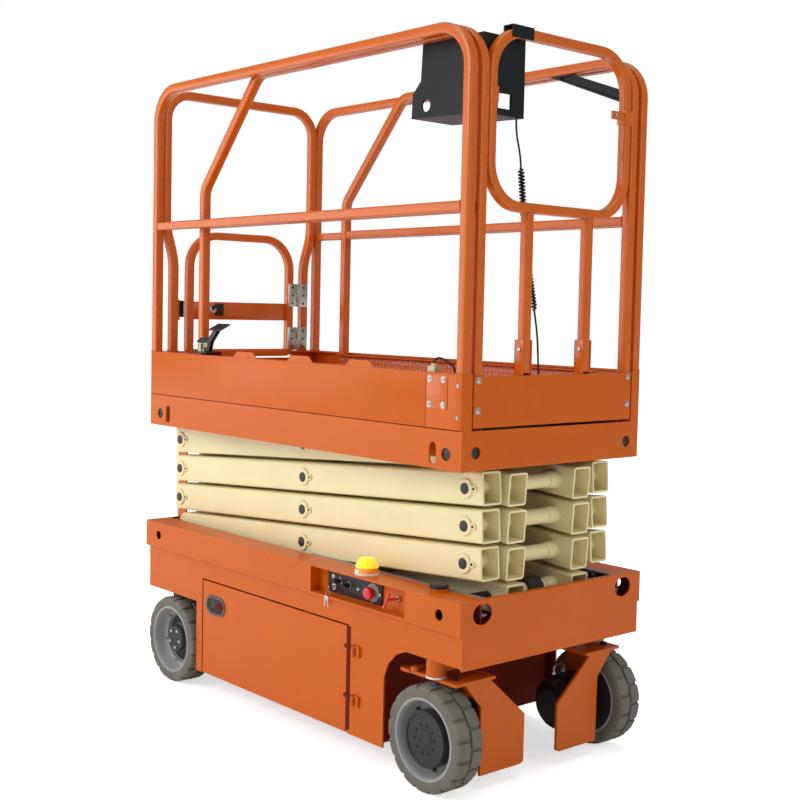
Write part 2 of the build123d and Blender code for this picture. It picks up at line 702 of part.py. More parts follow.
# Extension deck with its toe boards and front panel
ext_rear = -640.0
ext_low = deck_top + seat_gap
ext_toe_top = 1238.0
ext_plate = 4.0
ext_front = platform_front - 8
with BuildPart() as extension_deck:
    ext_inside = ext_half_width - ext_plate
    ext_panel = ext_half_width + 2
    block(ext_rear, ext_front, -ext_inside, ext_inside, ext_low, ext_low + 6)
    both_blocks(ext_rear, ext_front, ext_inside, ext_half_width, ext_low, ext_toe_top)
    both_blocks(ext_rear, ext_front, ext_half_width - 30, ext_half_width, ext_toe_top - ext_plate,
                ext_toe_top)
    block(ext_front, platform_front, -ext_panel, ext_panel, platform_joint + 8, ext_toe_top)
    block(platform_front - 41, platform_front, -ext_panel, ext_panel, ext_toe_top - ext_plate, ext_toe_top)
save(extension_deck, "extension_deck")

# Guard rails of the extension
ext_rail_y = ext_half_width - half_rail
ext_foot_z = ext_toe_top + seat_gap
with BuildPart() as extension_rails:
    for side in (-1, 1):
        y = side * ext_rail_y
        tube_run([(brace_x, y, ext_foot_z), (brace_x, y, brace_bend_z), (brace_top_x, y, rail_line_z),
                  (front_post_x, y, rail_line_z), (front_post_x, y, ext_foot_z)],
                 [70, 70, rail_bend], rail_size)
        tube_run([(brace_x, y, mid_rail_z), (front_post_x, y, mid_rail_z)], 0, mid_rail_size)
save(extension_rails, "extension_rails")

loop_y = ext_rail_y - 34.0
loop_size = 30.0
loop_bottom = 1731.0
leg_y = 134.0
with BuildPart() as front_rail:
    for side in (-1, 1):
        tube_run([(front_post_x, 0, loop_bottom), (front_post_x, side * loop_y, loop_bottom),
                  (front_post_x, side * loop_y, rail_line_z), (front_post_x, 0, rail_line_z)],
                 loop_bend, loop_size)
        y = side * leg_y
        tube_run([(front_post_x, y, 1290), (front_post_x, y, loop_bottom)], 0, loop_size)
        block(front_post_x - 20, front_post_x + 16, y - 20, y + 20, ext_foot_z, 1343)
save(front_rail, "front_rail")

# Platform control box in the right front corner, hooked over the front rail
box_near = ext_rail_y - half_rail - seat_gap
box_far = 145.0
box_plate = 6.0
box_top = rail_top - 28.0
box_bottom = rail_top - 256.0
box_front_x = front_post_x - loop_size / 2 - seat_gap
hook_top = rail_line_z + loop_size / 2 + seat_gap
hook_far_x = front_post_x + loop_size / 2 + seat_gap
with BuildPart() as control_box:
    near_plate = [
        (569, box_top), (563, box_top - 109), (528, box_top - 145), (524, box_bottom + 10),
        (box_front_x, box_bottom), (box_front_x, box_top),
    ]
    side_profile(near_plate, -box_near, -box_near + box_plate)
    rod_y(588, box_bottom + 44, -box_near - 1, -box_near + box_plate + 1, 19, Mode.SUBTRACT)
    floor_plate = [
        (524, box_bottom + 10), (box_front_x, box_bottom), (box_front_x, box_bottom + 6),
        (524, box_bottom + 16),
    ]
    side_profile(floor_plate, -box_near, -box_far)
    block(box_front_x - box_plate, box_front_x, -box_near, -box_far, box_bottom, box_top)
    block(box_front_x - box_plate - 1, box_front_x + 1, -254, -201, box_bottom + 20, box_bottom + 64,
          Mode.SUBTRACT)
    console_x = box_front_x - 2
    console = [
        (575, box_bottom + 86), (console_x, box_bottom + 86), (console_x, box_top - 4), (690, box_top - 4),
        (585, box_top - 55),
    ]
    side_profile(console, -box_near + box_plate - 1, -box_far)
    # Hook over the front rail
    hook_near = box_far + 88
    block(box_front_x - box_plate, hook_far_x + 3, -hook_near, -box_far, hook_top, hook_top + 3)
    block(box_front_x - box_plate, box_front_x, -hook_near, -box_far, box_top - 5, hook_top + 1)
    block(hook_far_x, hook_far_x + 3, -hook_near, -box_far, box_top - 6, hook_top + 1)
save(control_box, "control_box")

# Corner channel under the left extension rail
rail_under = rail_line_z - half_rail - seat_gap
with BuildPart() as rail_channel:
    leg_x = front_post_x - half_rail - seat_gap
    channel = [
        (500, rail_under), (590, rail_under), (leg_x - 4.7, rail_top - 115), (leg_x, rail_top - 140),
        (leg_x, rail_top - 156),
    ]
    side_profile(channel, ext_rail_y - 12, ext_rail_y + 12)
    inside = [
        (545, rail_top - 43), (548, rail_under - 6), (590, rail_under - 6),
        (leg_x - 8.7, rail_top - 120), (leg_x - 8.7, rail_top - 146),
    ]
    side_profile(inside, ext_rail_y - 13, ext_rail_y - 4, Mode.SUBTRACT)
save(rail_channel, "rail_channel")

# Lock pedal at the foot of the right extension rail, standing out over the toe board
rail_outside = ext_rail_y + half_rail + seat_gap
pedal_x = brace_x + 41.0
pedal_y = -ext_rail_y - 27.0
pedal_z = toe_top + move_gap
with BuildPart() as foot_pedal:
    block(brace_x, brace_x + 100, pedal_y - 24, -rail_outside, pedal_z, pedal_z + 6)
    block(brace_x + half_rail + seat_gap, brace_x + 100, -rail_outside - 1, half_rail - ext_rail_y,
          ext_foot_z, pedal_z + 6)
    rod_z(pedal_x, pedal_y, pedal_z + 5, pedal_z + 51, 24)
    with Locations((pedal_x, pedal_y, pedal_z + 55)):
        Cone(24, 14, 10)
    lever = [
        (pedal_x - 1, pedal_z + 5), (pedal_x + 47, pedal_z + 5), (pedal_x + 55, pedal_z + 39),
        (pedal_x + 107, pedal_z + 91), (pedal_x + 89, pedal_z + 93), (pedal_x + 29, pedal_z + 45),
    ]
    side_profile(lever, pedal_y - 7, pedal_y + 9)
    head = [
        (pedal_y - 19, pedal_z + 82), (pedal_y + 25, pedal_z + 104), (pedal_y + 25, pedal_z + 110),
        (pedal_y - 19, pedal_z + 88),
    ]
    end_profile(head, pedal_x + 63, pedal_x + 139)
save(foot_pedal, "foot_pedal")

# Grey gland on the right toe board and the short cable that leaves it
toe_seat = toe_top + seat_gap
gland_x = platform_front - 147.0
gland_y = 24.0 - platform_half_width
with BuildPart() as cable_gland:
    block(gland_x - 15, gland_x + 15, gland_y - 14, gland_y + 14, toe_seat, toe_top + 17)
    rod_z(gland_x, gland_y, toe_top + 17, toe_top + 25, 10)
save(cable_gland, "cable_gland")
cable_points = [
    Vector(712, -372, 1270 + seat_gap), Vector(712, -372, 1283), Vector(736, -372, 1288),
    Vector(769, -372, 1276), Vector(799, -372, 1262), Vector(799, -372, toe_seat),
]

# Control cord: upper lead, coiled part and lower lead
lead_radius = 4.0
coil_radius = 11.0
coil_points = [Vector(790, -112, 1858), Vector(789, -84, 1640), Vector(796, -42, 1427)]
coil_start_way = (coil_points[1] - coil_points[0]).normalized()
coil_end_way = (coil_points[2] - coil_points[1]).normalized()
upper_points = [
    Vector(806, -154, 1992.6), Vector(806, -154, 1956), coil_points[0] - coil_start_way * 38,
    coil_points[0] - coil_start_way * seat_gap,
]
lower_points = [
    coil_points[2] + coil_end_way * seat_gap, coil_points[2] + coil_end_way * 72, Vector(800, -24, 1280),
    Vector(806, -26, 1220), Vector(820, -28, 1184), Vector(ext_front - seat_gap, -28, 1184),
]


def cord_bends(name, points):
    # Each bend uses just under half of its shorter run
    bends = []
    for place in range(1, len(points) - 1):
        before = points[place] - points[place - 1]
        after = points[place + 1] - points[place]
        turn = radians(before.get_angle(after))
        bends.append(0.45 * min(before.length, after.length) / tan(turn / 2))
    print(name, "bend radii", [round(bend, 1) for bend in bends])
    return bends


def cord(points, radius, name):
    with BuildPart() as run:
        with BuildLine() as path:
            FilletPolyline(*points, radius=cord_bends(name, points))
        with BuildSketch(Plane(origin=path.line @ 0, z_dir=path.line % 0)) as section:
            Circle(radius)
        sweep(sections=section.sketch, path=path.line)
    save(run, name)


cord(upper_points, lead_radius, "cord_upper_lead")
cord(coil_points, coil_radius, "cord_coil")
cord(lower_points, lead_radius, "cord_lower_lead")
cord(cable_points, 3.0, "toe_cable")
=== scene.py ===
import bpy
import bmesh
import random
from math import atan2, cos, hypot, pi, radians, sin, tan
from mathutils import Matrix, Vector


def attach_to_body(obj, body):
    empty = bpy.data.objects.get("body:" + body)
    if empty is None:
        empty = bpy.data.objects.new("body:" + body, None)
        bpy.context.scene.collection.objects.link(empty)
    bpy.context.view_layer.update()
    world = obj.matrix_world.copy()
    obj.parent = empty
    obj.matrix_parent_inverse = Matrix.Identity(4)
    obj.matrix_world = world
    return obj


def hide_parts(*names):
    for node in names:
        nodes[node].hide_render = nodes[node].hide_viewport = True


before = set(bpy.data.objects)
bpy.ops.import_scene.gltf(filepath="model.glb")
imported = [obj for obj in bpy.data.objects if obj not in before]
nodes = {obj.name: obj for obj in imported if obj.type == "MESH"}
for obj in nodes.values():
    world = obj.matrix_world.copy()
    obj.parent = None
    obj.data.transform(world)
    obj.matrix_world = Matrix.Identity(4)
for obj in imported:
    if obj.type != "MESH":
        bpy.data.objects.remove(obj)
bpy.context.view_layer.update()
random.seed(7)
MM = 0.001
bpy.context.scene.view_settings.view_transform = "Standard"
# Sizes below are drawn about the chassis middle, in millimetres, and moved to the frame's origin
MIDDLE = Vector((26.5, 0, 0)) * MM


def new_object(name, data):
    obj = bpy.data.objects.new(name, data)
    bpy.context.scene.collection.objects.link(obj)
    return obj


# Camera at the photograph's place
def add_camera():
    yaw, pitch, roll = 0.8528, -0.0603, 0.0217
    look = Vector((-sin(yaw) * cos(pitch), cos(yaw) * cos(pitch), sin(pitch)))
    right = look.cross(Vector((0, 0, 1))).normalized()
    up = right.cross(look)
    right, up = cos(roll) * right + sin(roll) * up, -sin(roll) * right + cos(roll) * up
    data = bpy.data.cameras.new("camera")
    cam = new_object("camera", data)
    turn = Matrix((right, up, -look)).transposed()
    cam.matrix_world = Matrix.Translation(Vector((3.448, -2.8945, 1.4215)) + MIDDLE) @ turn.to_4x4()
    data.sensor_width = 36.0
    data.lens = 1271.2 / 800 * 36
    data.shift_y = -0.01575
    data.clip_start, data.clip_end = 0.05, 200
    bpy.context.scene.camera = cam


add_camera()


# Materials: colours are given as on a screen and turned into linear light
def lin(r, g, b):
    return tuple(c / 12.92 if c <= 0.04045 else ((c + 0.055) / 1.055) ** 2.4 for c in (r, g, b))


def shade(color, k):
    return tuple(min(1.0, c * k) for c in color) + (1.0,)


def feed(tree, node, inputs):
    # Each named input takes a value, or a link from another node's socket
    for name, value in inputs.items():
        if isinstance(value, bpy.types.NodeSocket):
            tree.links.new(value, node.inputs[name])
        else:
            node.inputs[name].default_value = value


def add(tree, kind, inputs=None, **settings):
    node = tree.nodes.new("ShaderNode" + kind)
    for name, value in settings.items():
        setattr(node, name, value)
    feed(tree, node, inputs or {})
    return node


DUST = (0.55, 0.5, 0.43, 1)
COAT_ROUGHNESS = 0.12


def material(name, color, rough=0.4, metal=0.0, vary=0.06, scale=5.0, grain=500.0, bump=0.05, depth=0.0004,
        rough_vary=0.1, coat=0.0, dust=0.0, spec=0.5):
    # Paint with a slow change of tone, worn roughness, fine grain and dust on what faces up
    mat = bpy.data.materials.new(name)
    mat.use_nodes = True
    tree = mat.node_tree
    place = add(tree, "TexCoord").outputs["Object"]
    wide = add(tree, "TexNoise", {"Scale": scale, "Detail": 5, "Roughness": 0.6, "Vector": place})
    ramp = add(tree, "ValToRGB", {"Fac": wide.outputs["Fac"]})
    for stop, at, k in zip(ramp.color_ramp.elements, (0.3, 0.7), (1 - vary, 1 + vary)):
        stop.position, stop.color = at, shade(color, k)
    paint = ramp.outputs["Color"]
    if dust:
        split = add(tree, "SeparateXYZ", {0: add(tree, "NewGeometry").outputs["Normal"]})
        level = add(tree, "MapRange", {"From Min": 0.3, "From Max": 1.0, "To Max": dust,
            "Value": split.outputs["Z"]})
        spots = add(tree, "TexNoise", {"Scale": 38, "Detail": 7, "Vector": place})
        amount = add(tree, "Math", {0: level.outputs[0], 1: spots.outputs["Fac"]}, operation="MULTIPLY")
        mix = add(tree, "Mix", {"Factor": amount.outputs[0], "A": paint, "B": DUST}, data_type="RGBA")
        paint = mix.outputs["Result"]
    worn = add(tree, "TexNoise", {"Scale": scale * 4.3, "Detail": 6, "Vector": place})
    low, high = max(0.02, rough - rough_vary / 2), min(1.0, rough + rough_vary / 2)
    span = add(tree, "MapRange", {"To Min": low, "To Max": high, "Value": worn.outputs["Fac"]})
    fine = add(tree, "TexNoise", {"Scale": grain, "Detail": 3, "Vector": place})
    relief = add(tree, "Bump", {"Strength": bump, "Distance": depth, "Height": fine.outputs["Fac"]})
    feed(tree, tree.nodes["Principled BSDF"], {"Base Color": paint, "Roughness": span.outputs[0],
        "Normal": relief.outputs[0], "Metallic": metal, "Coat Weight": coat, "Coat Roughness": COAT_ROUGHNESS,
        "Specular IOR Level": spec})
    return mat


def paint(name, r, g, b, **more):
    return material(name, lin(r, g, b), **more)


ORANGE = paint("orange_paint", 0.80, 0.365, 0.02, rough=0.34, vary=0.035, grain=260, bump=0.08, coat=0.05,
    spec=0.24)
RAIL_ORANGE = paint("orange_rail_paint", 0.81, 0.375, 0.03, rough=0.28, vary=0.045, grain=320, bump=0.10,
    coat=0.30, spec=0.4)
# Painted shade: a darkened orange for faces inside the chassis
SHADED_ORANGE = paint("shadowed_orange_paint", 0.55, 0.15, 0.06, rough=0.6, vary=0.14, scale=9, grain=300, bump=0.15,
    spec=0.2)
CREAM = paint("cream_paint", 0.94, 0.88, 0.68, rough=0.42, vary=0.035, grain=240, bump=0.10, coat=0.12,
    dust=0.10)
TYRE = paint("grey_tyre_rubber", 0.44, 0.43, 0.39, rough=0.82, vary=0.10, scale=14, grain=700, bump=0.35,
    depth=0.0008, spec=0.25)
RIM = paint("grey_rim_paint", 0.60, 0.60, 0.60, rough=0.5, vary=0.07, scale=10, bump=0.12)
BLACK = paint("black_paint", 0.13, 0.13, 0.14, rough=0.42, vary=0.15, grain=420, bump=0.18, dust=0.05)
BOX_BLACK = paint("black_powder_coat", 0.07, 0.095, 0.10, rough=0.42, vary=0.10, grain=900, bump=0.25,
    spec=0.25)
PLASTIC = paint("black_plastic", 0.10, 0.10, 0.11, rough=0.5, vary=0.10, grain=1200, bump=0.15)
RUBBER = paint("black_rubber", 0.09, 0.09, 0.09, rough=0.7, vary=0.12, grain=800, bump=0.25, spec=0.3)
PIN = paint("dark_pin_steel", 0.25, 0.25, 0.26, rough=0.38, metal=0.7, vary=0.15, scale=40, grain=900,
    bump=0.15)
ZINC = paint("zinc_plated_steel", 0.80, 0.80, 0.78, rough=0.30, metal=1.0, vary=0.10, scale=60, grain=900,
    bump=0.10)
STAINLESS = paint("stainless_steel", 0.78, 0.77, 0.73, rough=0.34, metal=1.0, vary=0.06, scale=30, grain=1500,
    bump=0.12)
CHROME = paint("hard_chrome", 0.88, 0.88, 0.90, rough=0.08, metal=1.0, vary=0.03, rough_vary=0.05, bump=0.02)
TRACK = paint("bare_track_steel", 0.62, 0.60, 0.64, rough=0.5, metal=0.4, vary=0.12, scale=22, grain=600,
    bump=0.2, dust=0.1)
RED = paint("red_plastic", 0.82, 0.08, 0.07, rough=0.28, vary=0.04, bump=0.03, coat=0.4)
GREY = paint("grey_plastic", 0.55, 0.55, 0.55, rough=0.5, vary=0.06, bump=0.1)
WHITE = paint("white_plastic", 0.90, 0.89, 0.86, rough=0.4, vary=0.04, bump=0.06)
CASE = paint("battery_case", 0.20, 0.20, 0.21, rough=0.6, vary=0.10, grain=600, bump=0.3)
UNIT = paint("hydraulic_unit_paint", 0.26, 0.26, 0.28, rough=0.5, vary=0.12, bump=0.2)


def lens_material(name, color, glow, strength):
    mat = material(name, color, rough=0.14, vary=0.08, scale=30, bump=0.05, coat=0.5)
    feed(mat.node_tree, mat.node_tree.nodes["Principled BSDF"], {"Emission Color": glow,
        "Emission Strength": strength})
    return mat


# Painted shade: a dark red-brown laid in gaps, slots and hollows
SHADE_RED_BROWN = paint("painted_shade_red_brown", 0.40, 0.08, 0.03, rough=0.6, vary=0.15, grain=400, bump=0.2, spec=0.12)
DARK_GREY = paint("dark_grey_plastic", 0.30, 0.31, 0.33, rough=0.45, vary=0.08, grain=900, bump=0.12)
IVORY = paint("ivory_plastic", 0.80, 0.76, 0.62, rough=0.5, vary=0.08, grain=500, bump=0.1)


AMBER = lens_material("amber_lens", lin(0.98, 0.55, 0.10), (1.0, 0.30, 0.02, 1), 0.15)
YELLOW = lens_material("yellow_lens", lin(1.0, 0.86, 0.12), (1.0, 0.72, 0.03, 1), 0.45)


def diamond_plate(name, upright):
    # Two crossed rows of short raised bars on orange paint
    mat = material(name, lin(0.76, 0.31, 0.08), rough=0.34, vary=0.07, coat=0.2, dust=0.15)
    tree = mat.node_tree
    shader = tree.nodes["Principled BSDF"]
    grain = [n for n in tree.nodes if n.type == "BUMP"][0]
    place = add(tree, "TexCoord").outputs["Object"]
    stand = add(tree, "Mapping", {"Rotation": (pi / 2 if upright else 0.0, 0, 0), "Vector": place})
    heights = []
    for turn, shift in ((45, 0.0), (-45, 0.5)):
        spin = add(tree, "Mapping", {"Rotation": (0, 0, radians(turn)), "Scale": (36, 36, 36),
            "Location": (shift, shift, 0), "Vector": stand.outputs[0]})
        bar = spin.outputs[0]
        steps = (("FRACTION", {}), ("SUBTRACT", {1: (0.5, 0.5, 0.5)}), ("MULTIPLY", {1: (1.15, 3.6, 0)}))
        for operation, other in steps:
            bar = add(tree, "VectorMath", {0: bar, **other}, operation=operation).outputs[0]
        reach = add(tree, "VectorMath", {0: bar}, operation="LENGTH")
        lug = add(tree, "MapRange", {"From Min": 0.50, "From Max": 0.30, "Value": reach.outputs["Value"]},
            interpolation_type="SMOOTHSTEP")
        heights.append(lug.outputs[0])
    top = add(tree, "Math", dict(enumerate(heights)), operation="MAXIMUM").outputs[0]
    relief = add(tree, "Bump", {"Strength": 0.9, "Distance": 0.0015, "Height": top,
        "Normal": grain.outputs[0]})
    # The bars are a little lighter than the plate
    paint = shader.inputs["Base Color"].links[0].from_socket
    bars = add(tree, "Mix", {"Factor": top, "A": paint, "B": lin(0.93, 0.60, 0.36) + (1,)}, data_type="RGBA")
    feed(tree, shader, {"Normal": relief.outputs[0], "Base Color": bars.outputs["Result"]})
    return mat


DIAMOND = diamond_plate("diamond_plate_deck", False)
DIAMOND_WALL = diamond_plate("diamond_plate_wall", True)


def attach(obj, body, replaces=()):
    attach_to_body(obj, body)
    if replaces:
        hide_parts(*replaces)
    return obj


def shade_smooth(data, angle):
    for face in data.polygons:
        face.use_smooth = True
    data.set_sharp_from_angle(angle=radians(angle))


def turned(x, y, z, angle, axis):
    return Matrix.Translation(Vector((x, y, z)) * MM) @ Matrix.Rotation(angle, 4, axis)


def modifier(obj, name, kind, **settings):
    made = obj.modifiers.new(name, kind)
    for key, value in settings.items():
        setattr(made, key, value)


def join_points(obj):
    modifier(obj, "join", "WELD", merge_threshold=0.00002)


def round_edges(obj, width):
    modifier(obj, "flat", "DECIMATE", decimate_type="DISSOLVE", angle_limit=radians(0.6))
    modifier(obj, "edges", "BEVEL", width=width * MM, segments=2, limit_method="ANGLE",
        angle_limit=radians(40))


def even_normals(obj):
    modifier(obj, "normals", "WEIGHTED_NORMAL", keep_sharp=True)


def join_rows(form, here, there):
    for i in range(len(here)):
        j = (i + 1) % len(here)
        form.faces.new((here[i], here[j], there[j], there[i]))


# Screw heads: sides, and a profile in shares of the radius and the height
HEADS = {"hex": (6, [(0, 0), (1, 0), (1, 0.8), (0.86, 1), (0, 1)]),
    "dome": (20, [(0, 0), (1, 0), (1, 0.3), (0.75, 0.8), (0.35, 1), (0.3, 0.55), (0, 0.5)]),
    "socket": (24, [(0, 0), (1, 0), (1, 0.8), (0.9, 1), (0.5, 1), (0.5, 0.4), (0, 0.4)])}


# A mesh piece gathered from several forms, each with its own material
class Piece:
    def __init__(self):
        self.mesh = bmesh.new()
        self.mats = []

    def slot_of(self, mat):
        if mat not in self.mats:
            self.mats.append(mat)
        return self.mats.index(mat)

    def take(self, other, mat):
        # Moves a finished form into the piece
        index = self.slot_of(mat)
        data = bpy.data.meshes.new("form")
        bmesh.ops.recalc_face_normals(other, faces=other.faces)
        for face in other.faces:
            face.material_index = index
        other.to_mesh(data)
        other.free()
        self.mesh.from_mesh(data)
        bpy.data.meshes.remove(data)

    def block(self, x0, x1, y0, y1, z0, z1, mat, soft=1.5, turn=None):
        form = bmesh.new()
        spans = ((x0, x1), (y0, y1), (z0, z1))
        size = [abs(b - a) for a, b in spans]
        bmesh.ops.create_cube(form, size=1.0)
        form.transform(Matrix.Diagonal((*(d * MM for d in size), 1)))
        if soft:
            bmesh.ops.bevel(form, geom=form.edges[:], offset=min(soft, min(size) * 0.45) * MM, segments=2,
                affect="EDGES", profile=0.5)
        if turn is not None:
            form.transform(turn)
        form.transform(Matrix.Translation(Vector([(a + b) / 2 for a, b in spans]) * MM))
        self.take(form, mat)

    def ring(self, profile, origin, axis, mat, sides=48):
        # Turns a closed profile of (radius, along) points about an axis
        form = bmesh.new()
        way = Vector(axis).normalized()
        side = way.orthogonal().normalized()
        if abs(way.y) > 0.9:
            side = Vector((0, 0, 1))
        other = way.cross(side)
        base = Vector(origin) * MM
        rows = []
        for k in range(sides):
            a = 2 * pi * k / sides
            out = side * cos(a) + other * sin(a)
            rows.append([form.verts.new(base + (out * r + way * h) * MM) for r, h in profile])
        count = len(profile)
        for k in range(sides):
            here, there = rows[k], rows[(k + 1) % sides]
            for n in range(count):
                m = (n + 1) % count
                if profile[n][0] < 1e-6 and profile[m][0] < 1e-6:
                    continue
                form.faces.new((here[n], here[m], there[m], there[n]))
        bmesh.ops.remove_doubles(form, verts=form.verts[:], dist=1e-6)
        self.take(form, mat)

    def rings(self, origin, axis, *parts):
        for profile, mat, sides in parts:
            self.ring(profile, origin, axis, mat, sides)

    def rod(self, start, end, radius, mat, sides=32, soft=1.0):
        a, b = Vector(start), Vector(end)
        length = (b - a).length
        s = min(soft, radius * 0.4, length * 0.4)
        profile = [(0, 0), (radius - s, 0), (radius - s * 0.3, s * 0.3), (radius, s), (radius, length - s),
            (radius - s * 0.3, length - s * 0.3), (radius - s, length), (0, length)]
        self.ring(profile, start, b - a, mat, sides)

    def pipe(self, start, end, radius, bore, mat, sides=32, soft=0.8):
        a, b = Vector(start), Vector(end)
        length = (b - a).length
        profile = [(bore, 0), (radius - soft, 0), (radius, soft), (radius, length - soft),
            (radius - soft, length), (bore, length)]
        self.ring(profile, start, b - a, mat, sides)

    def sweep(self, path, section, normal, mat, closed=False, caps=True):
        # Carries a section of (across, out) points along a path that lies in one plane
        form = bmesh.new()
        n = Vector(normal).normalized()
        rows = []
        count = len(path)
        for k in range(count):
            if closed:
                way = (path[(k + 1) % count] - path[k - 1]).normalized()
            else:
                ahead = (path[min(k + 1, count - 1)] - path[k])
                behind = (path[k] - path[max(k - 1, 0)])
                way = ((ahead.normalized() if ahead.length else behind.normalized())
                    + (behind.normalized() if behind.length else ahead.normalized())).normalized()
            out = n.cross(way).normalized()
            rows.append([form.verts.new((path[k] + n * u + out * v) * MM) for u, v in section])
        for k in range(count if closed else count - 1):
            join_rows(form, rows[k], rows[(k + 1) % count])
        if caps and not closed:
            form.faces.new(rows[0])
            form.faces.new(rows[-1])
        self.take(form, mat)

    def plate(self, outline, plane, low, high, mat, soft=0.8):
        # A flat plate: outline points in two axes, made thick along the third
        low, high = sorted((low, high))
        form = bmesh.new()
        order = {"XZ": (0, 2, 1), "YZ": (2, 0, 1), "XY": (0, 1, 2)}[plane]

        def place(*uvw):
            return Vector([uvw[i] for i in order]) * MM

        bottom = [form.verts.new(place(u, v, low)) for u, v in outline]
        face = form.faces.new(bottom)
        made = bmesh.ops.extrude_face_region(form, geom=[face])
        raised = [v for v in made["geom"] if isinstance(v, bmesh.types.BMVert)]
        bmesh.ops.translate(form, vec=place(0, 0, high - low), verts=raised)
        bmesh.ops.recalc_face_normals(form, faces=form.faces)
        if soft:
            edges = [e for e in form.edges if len(e.link_faces) == 2 and e.calc_face_angle(0) > 0.6]
            bmesh.ops.bevel(form, geom=edges, offset=min(soft, abs(high - low) * 0.4) * MM, segments=2,
                affect="EDGES", profile=0.5)
        self.take(form, mat)

    def screw(self, at, axis, radius, height, mat, kind="hex", washer=None):
        way = Vector(axis).normalized()
        base = Vector(at)
        if washer:
            self.pipe(base, base + way * 1.2, radius * 1.55, radius * 0.5, washer, sides=24, soft=0.3)
            base = base + way * 1.2
        sides, head = HEADS[kind]
        self.ring([(radius * r, height * h) for r, h in head], base, way, mat, sides=sides)

    def bead(self, points, size, mat):
        # A rippled weld line
        path = []
        for a, b in zip(points[:-1], points[1:]):
            a, b = Vector(a), Vector(b)
            steps = max(2, int((b - a).length / 3.0))
            path += [a.lerp(b, k / steps) for k in range(steps)]
        path.append(Vector(points[-1]))
        form = bmesh.new()
        rows = []
        for k, p in enumerate(path):
            way = (path[min(k + 1, len(path) - 1)] - path[max(k - 1, 0)]).normalized()
            side = way.orthogonal().normalized()
            other = way.cross(side)
            r = size * (1.0 if k % 2 else 0.82) * (0.95 + 0.1 * random.random())
            rows.append([form.verts.new((p + (side * cos(a) + other * sin(a)) * r) * MM)
                for a in (i * pi / 3 for i in range(6))])
        for here, there in zip(rows[:-1], rows[1:]):
            join_rows(form, here, there)
        form.faces.new(rows[0])
        form.faces.new(rows[-1])
        self.take(form, mat)

    def as_mesh(self, name):
        data = bpy.data.meshes.new(name)
        self.mesh.transform(Matrix.Translation(MIDDLE))
        self.mesh.to_mesh(data)
        self.mesh.free()
        return data

    def done(self, name, body, slot, replaces=(), angle=35):
        data = self.as_mesh(name)
        for mat in self.mats:
            data.materials.append(mat)
        shade_smooth(data, angle)
        return attach(new_object(name, data), body, replaces)


def rounded(width, height, corner, steps=4):
    # A rounded rectangle as (across, out) points
    points = []
    for cx, cy, start in ((1, 1, 0), (-1, 1, 90), (-1, -1, 180), (1, -1, 270)):
        for k in range(steps + 1):
            a = radians(start + 90 * k / steps)
            points.append((cx * (width / 2 - corner) + corner * cos(a),
                cy * (height / 2 - corner) + corner * sin(a)))
    return points


def bent(points, radius, steps=10):
    # A tube's centre line with an arc at each corner
    points = [Vector(p) for p in points]
    path = [points[0]]
    radii = radius if isinstance(radius, (list, tuple)) else [radius] * (len(points) - 2)
    for k in range(1, len(points) - 1):
        radius = radii[k - 1]
        p = points[k]
        before, after = (points[k - 1] - p).normalized(), (points[k + 1] - p).normalized()
        half = before.angle(after) / 2
        back = radius / tan(half)
        centre = p + (before + after).normalized() * (radius / sin(half))
        a, b = p + before * back - centre, p + after * back - centre
        turn = a.angle(b)
        for s in range(steps + 1):
            t = s / steps
            path.append(centre + (a * sin((1 - t) * turn) + b * sin(t * turn)) / sin(turn))
    path.append(points[-1])
    return path


def dress(name, mat, width):
    # A CAD node keeps its mesh and gets its material and rounded edges
    obj = nodes[name]
    obj.data.materials.clear()
    obj.data.materials.append(mat)
    join_points(obj)
    round_edges(obj, width)
    even_normals(obj)


# Directions, and sizes shared with the CAD part, in millimetres
AHEAD, LEFT, RIGHT, UP = (1, 0, 0), (0, 1, 0), (0, -1, 0), (0, 0, 1)
SIDES = ((-1, "right"), (1, "left"))
KINGPIN_X, REAR_WHEEL_X, WHEEL_RADIUS = 737, -690, 160
PANEL_Y, BOARD_Y, DRIVE_Y = -372, 396, 287.7
HINGE_X, HINGE_Y, SKIN_Y = 400, 403, 395
BEACON_X, BEACON_Y = 404, -357
PEDAL_X, PEDAL_Y = -559, -361
REAR_PIN, FRONT_PIN, LOW_Z, PITCH = -830.0, 766.0, 565.0, 112.0
MID_PIN = (REAR_PIN + FRONT_PIN) / 2
ARM_LENGTH = hypot(FRONT_PIN - REAR_PIN, PITCH)
ARM_TILT = atan2(PITCH, FRONT_PIN - REAR_PIN)
OUTER_FACE, INNER_FACE, ARM_WIDTH, ARM_HEIGHT = 284.0, 183.0, 78.0, 100.0


def circle(x, y, z, radius, count, start=0.0, upright=False, closed=False):
    # Angles and points round an axis across the machine, or round an upright one
    found = []
    for k in range(count + closed):
        a = 2 * pi * k / count + start
        u, v = radius * cos(a), radius * sin(a)
        found.append((a, (x + u, y + v, z) if upright else (x + u, y, z + v)))
    return found


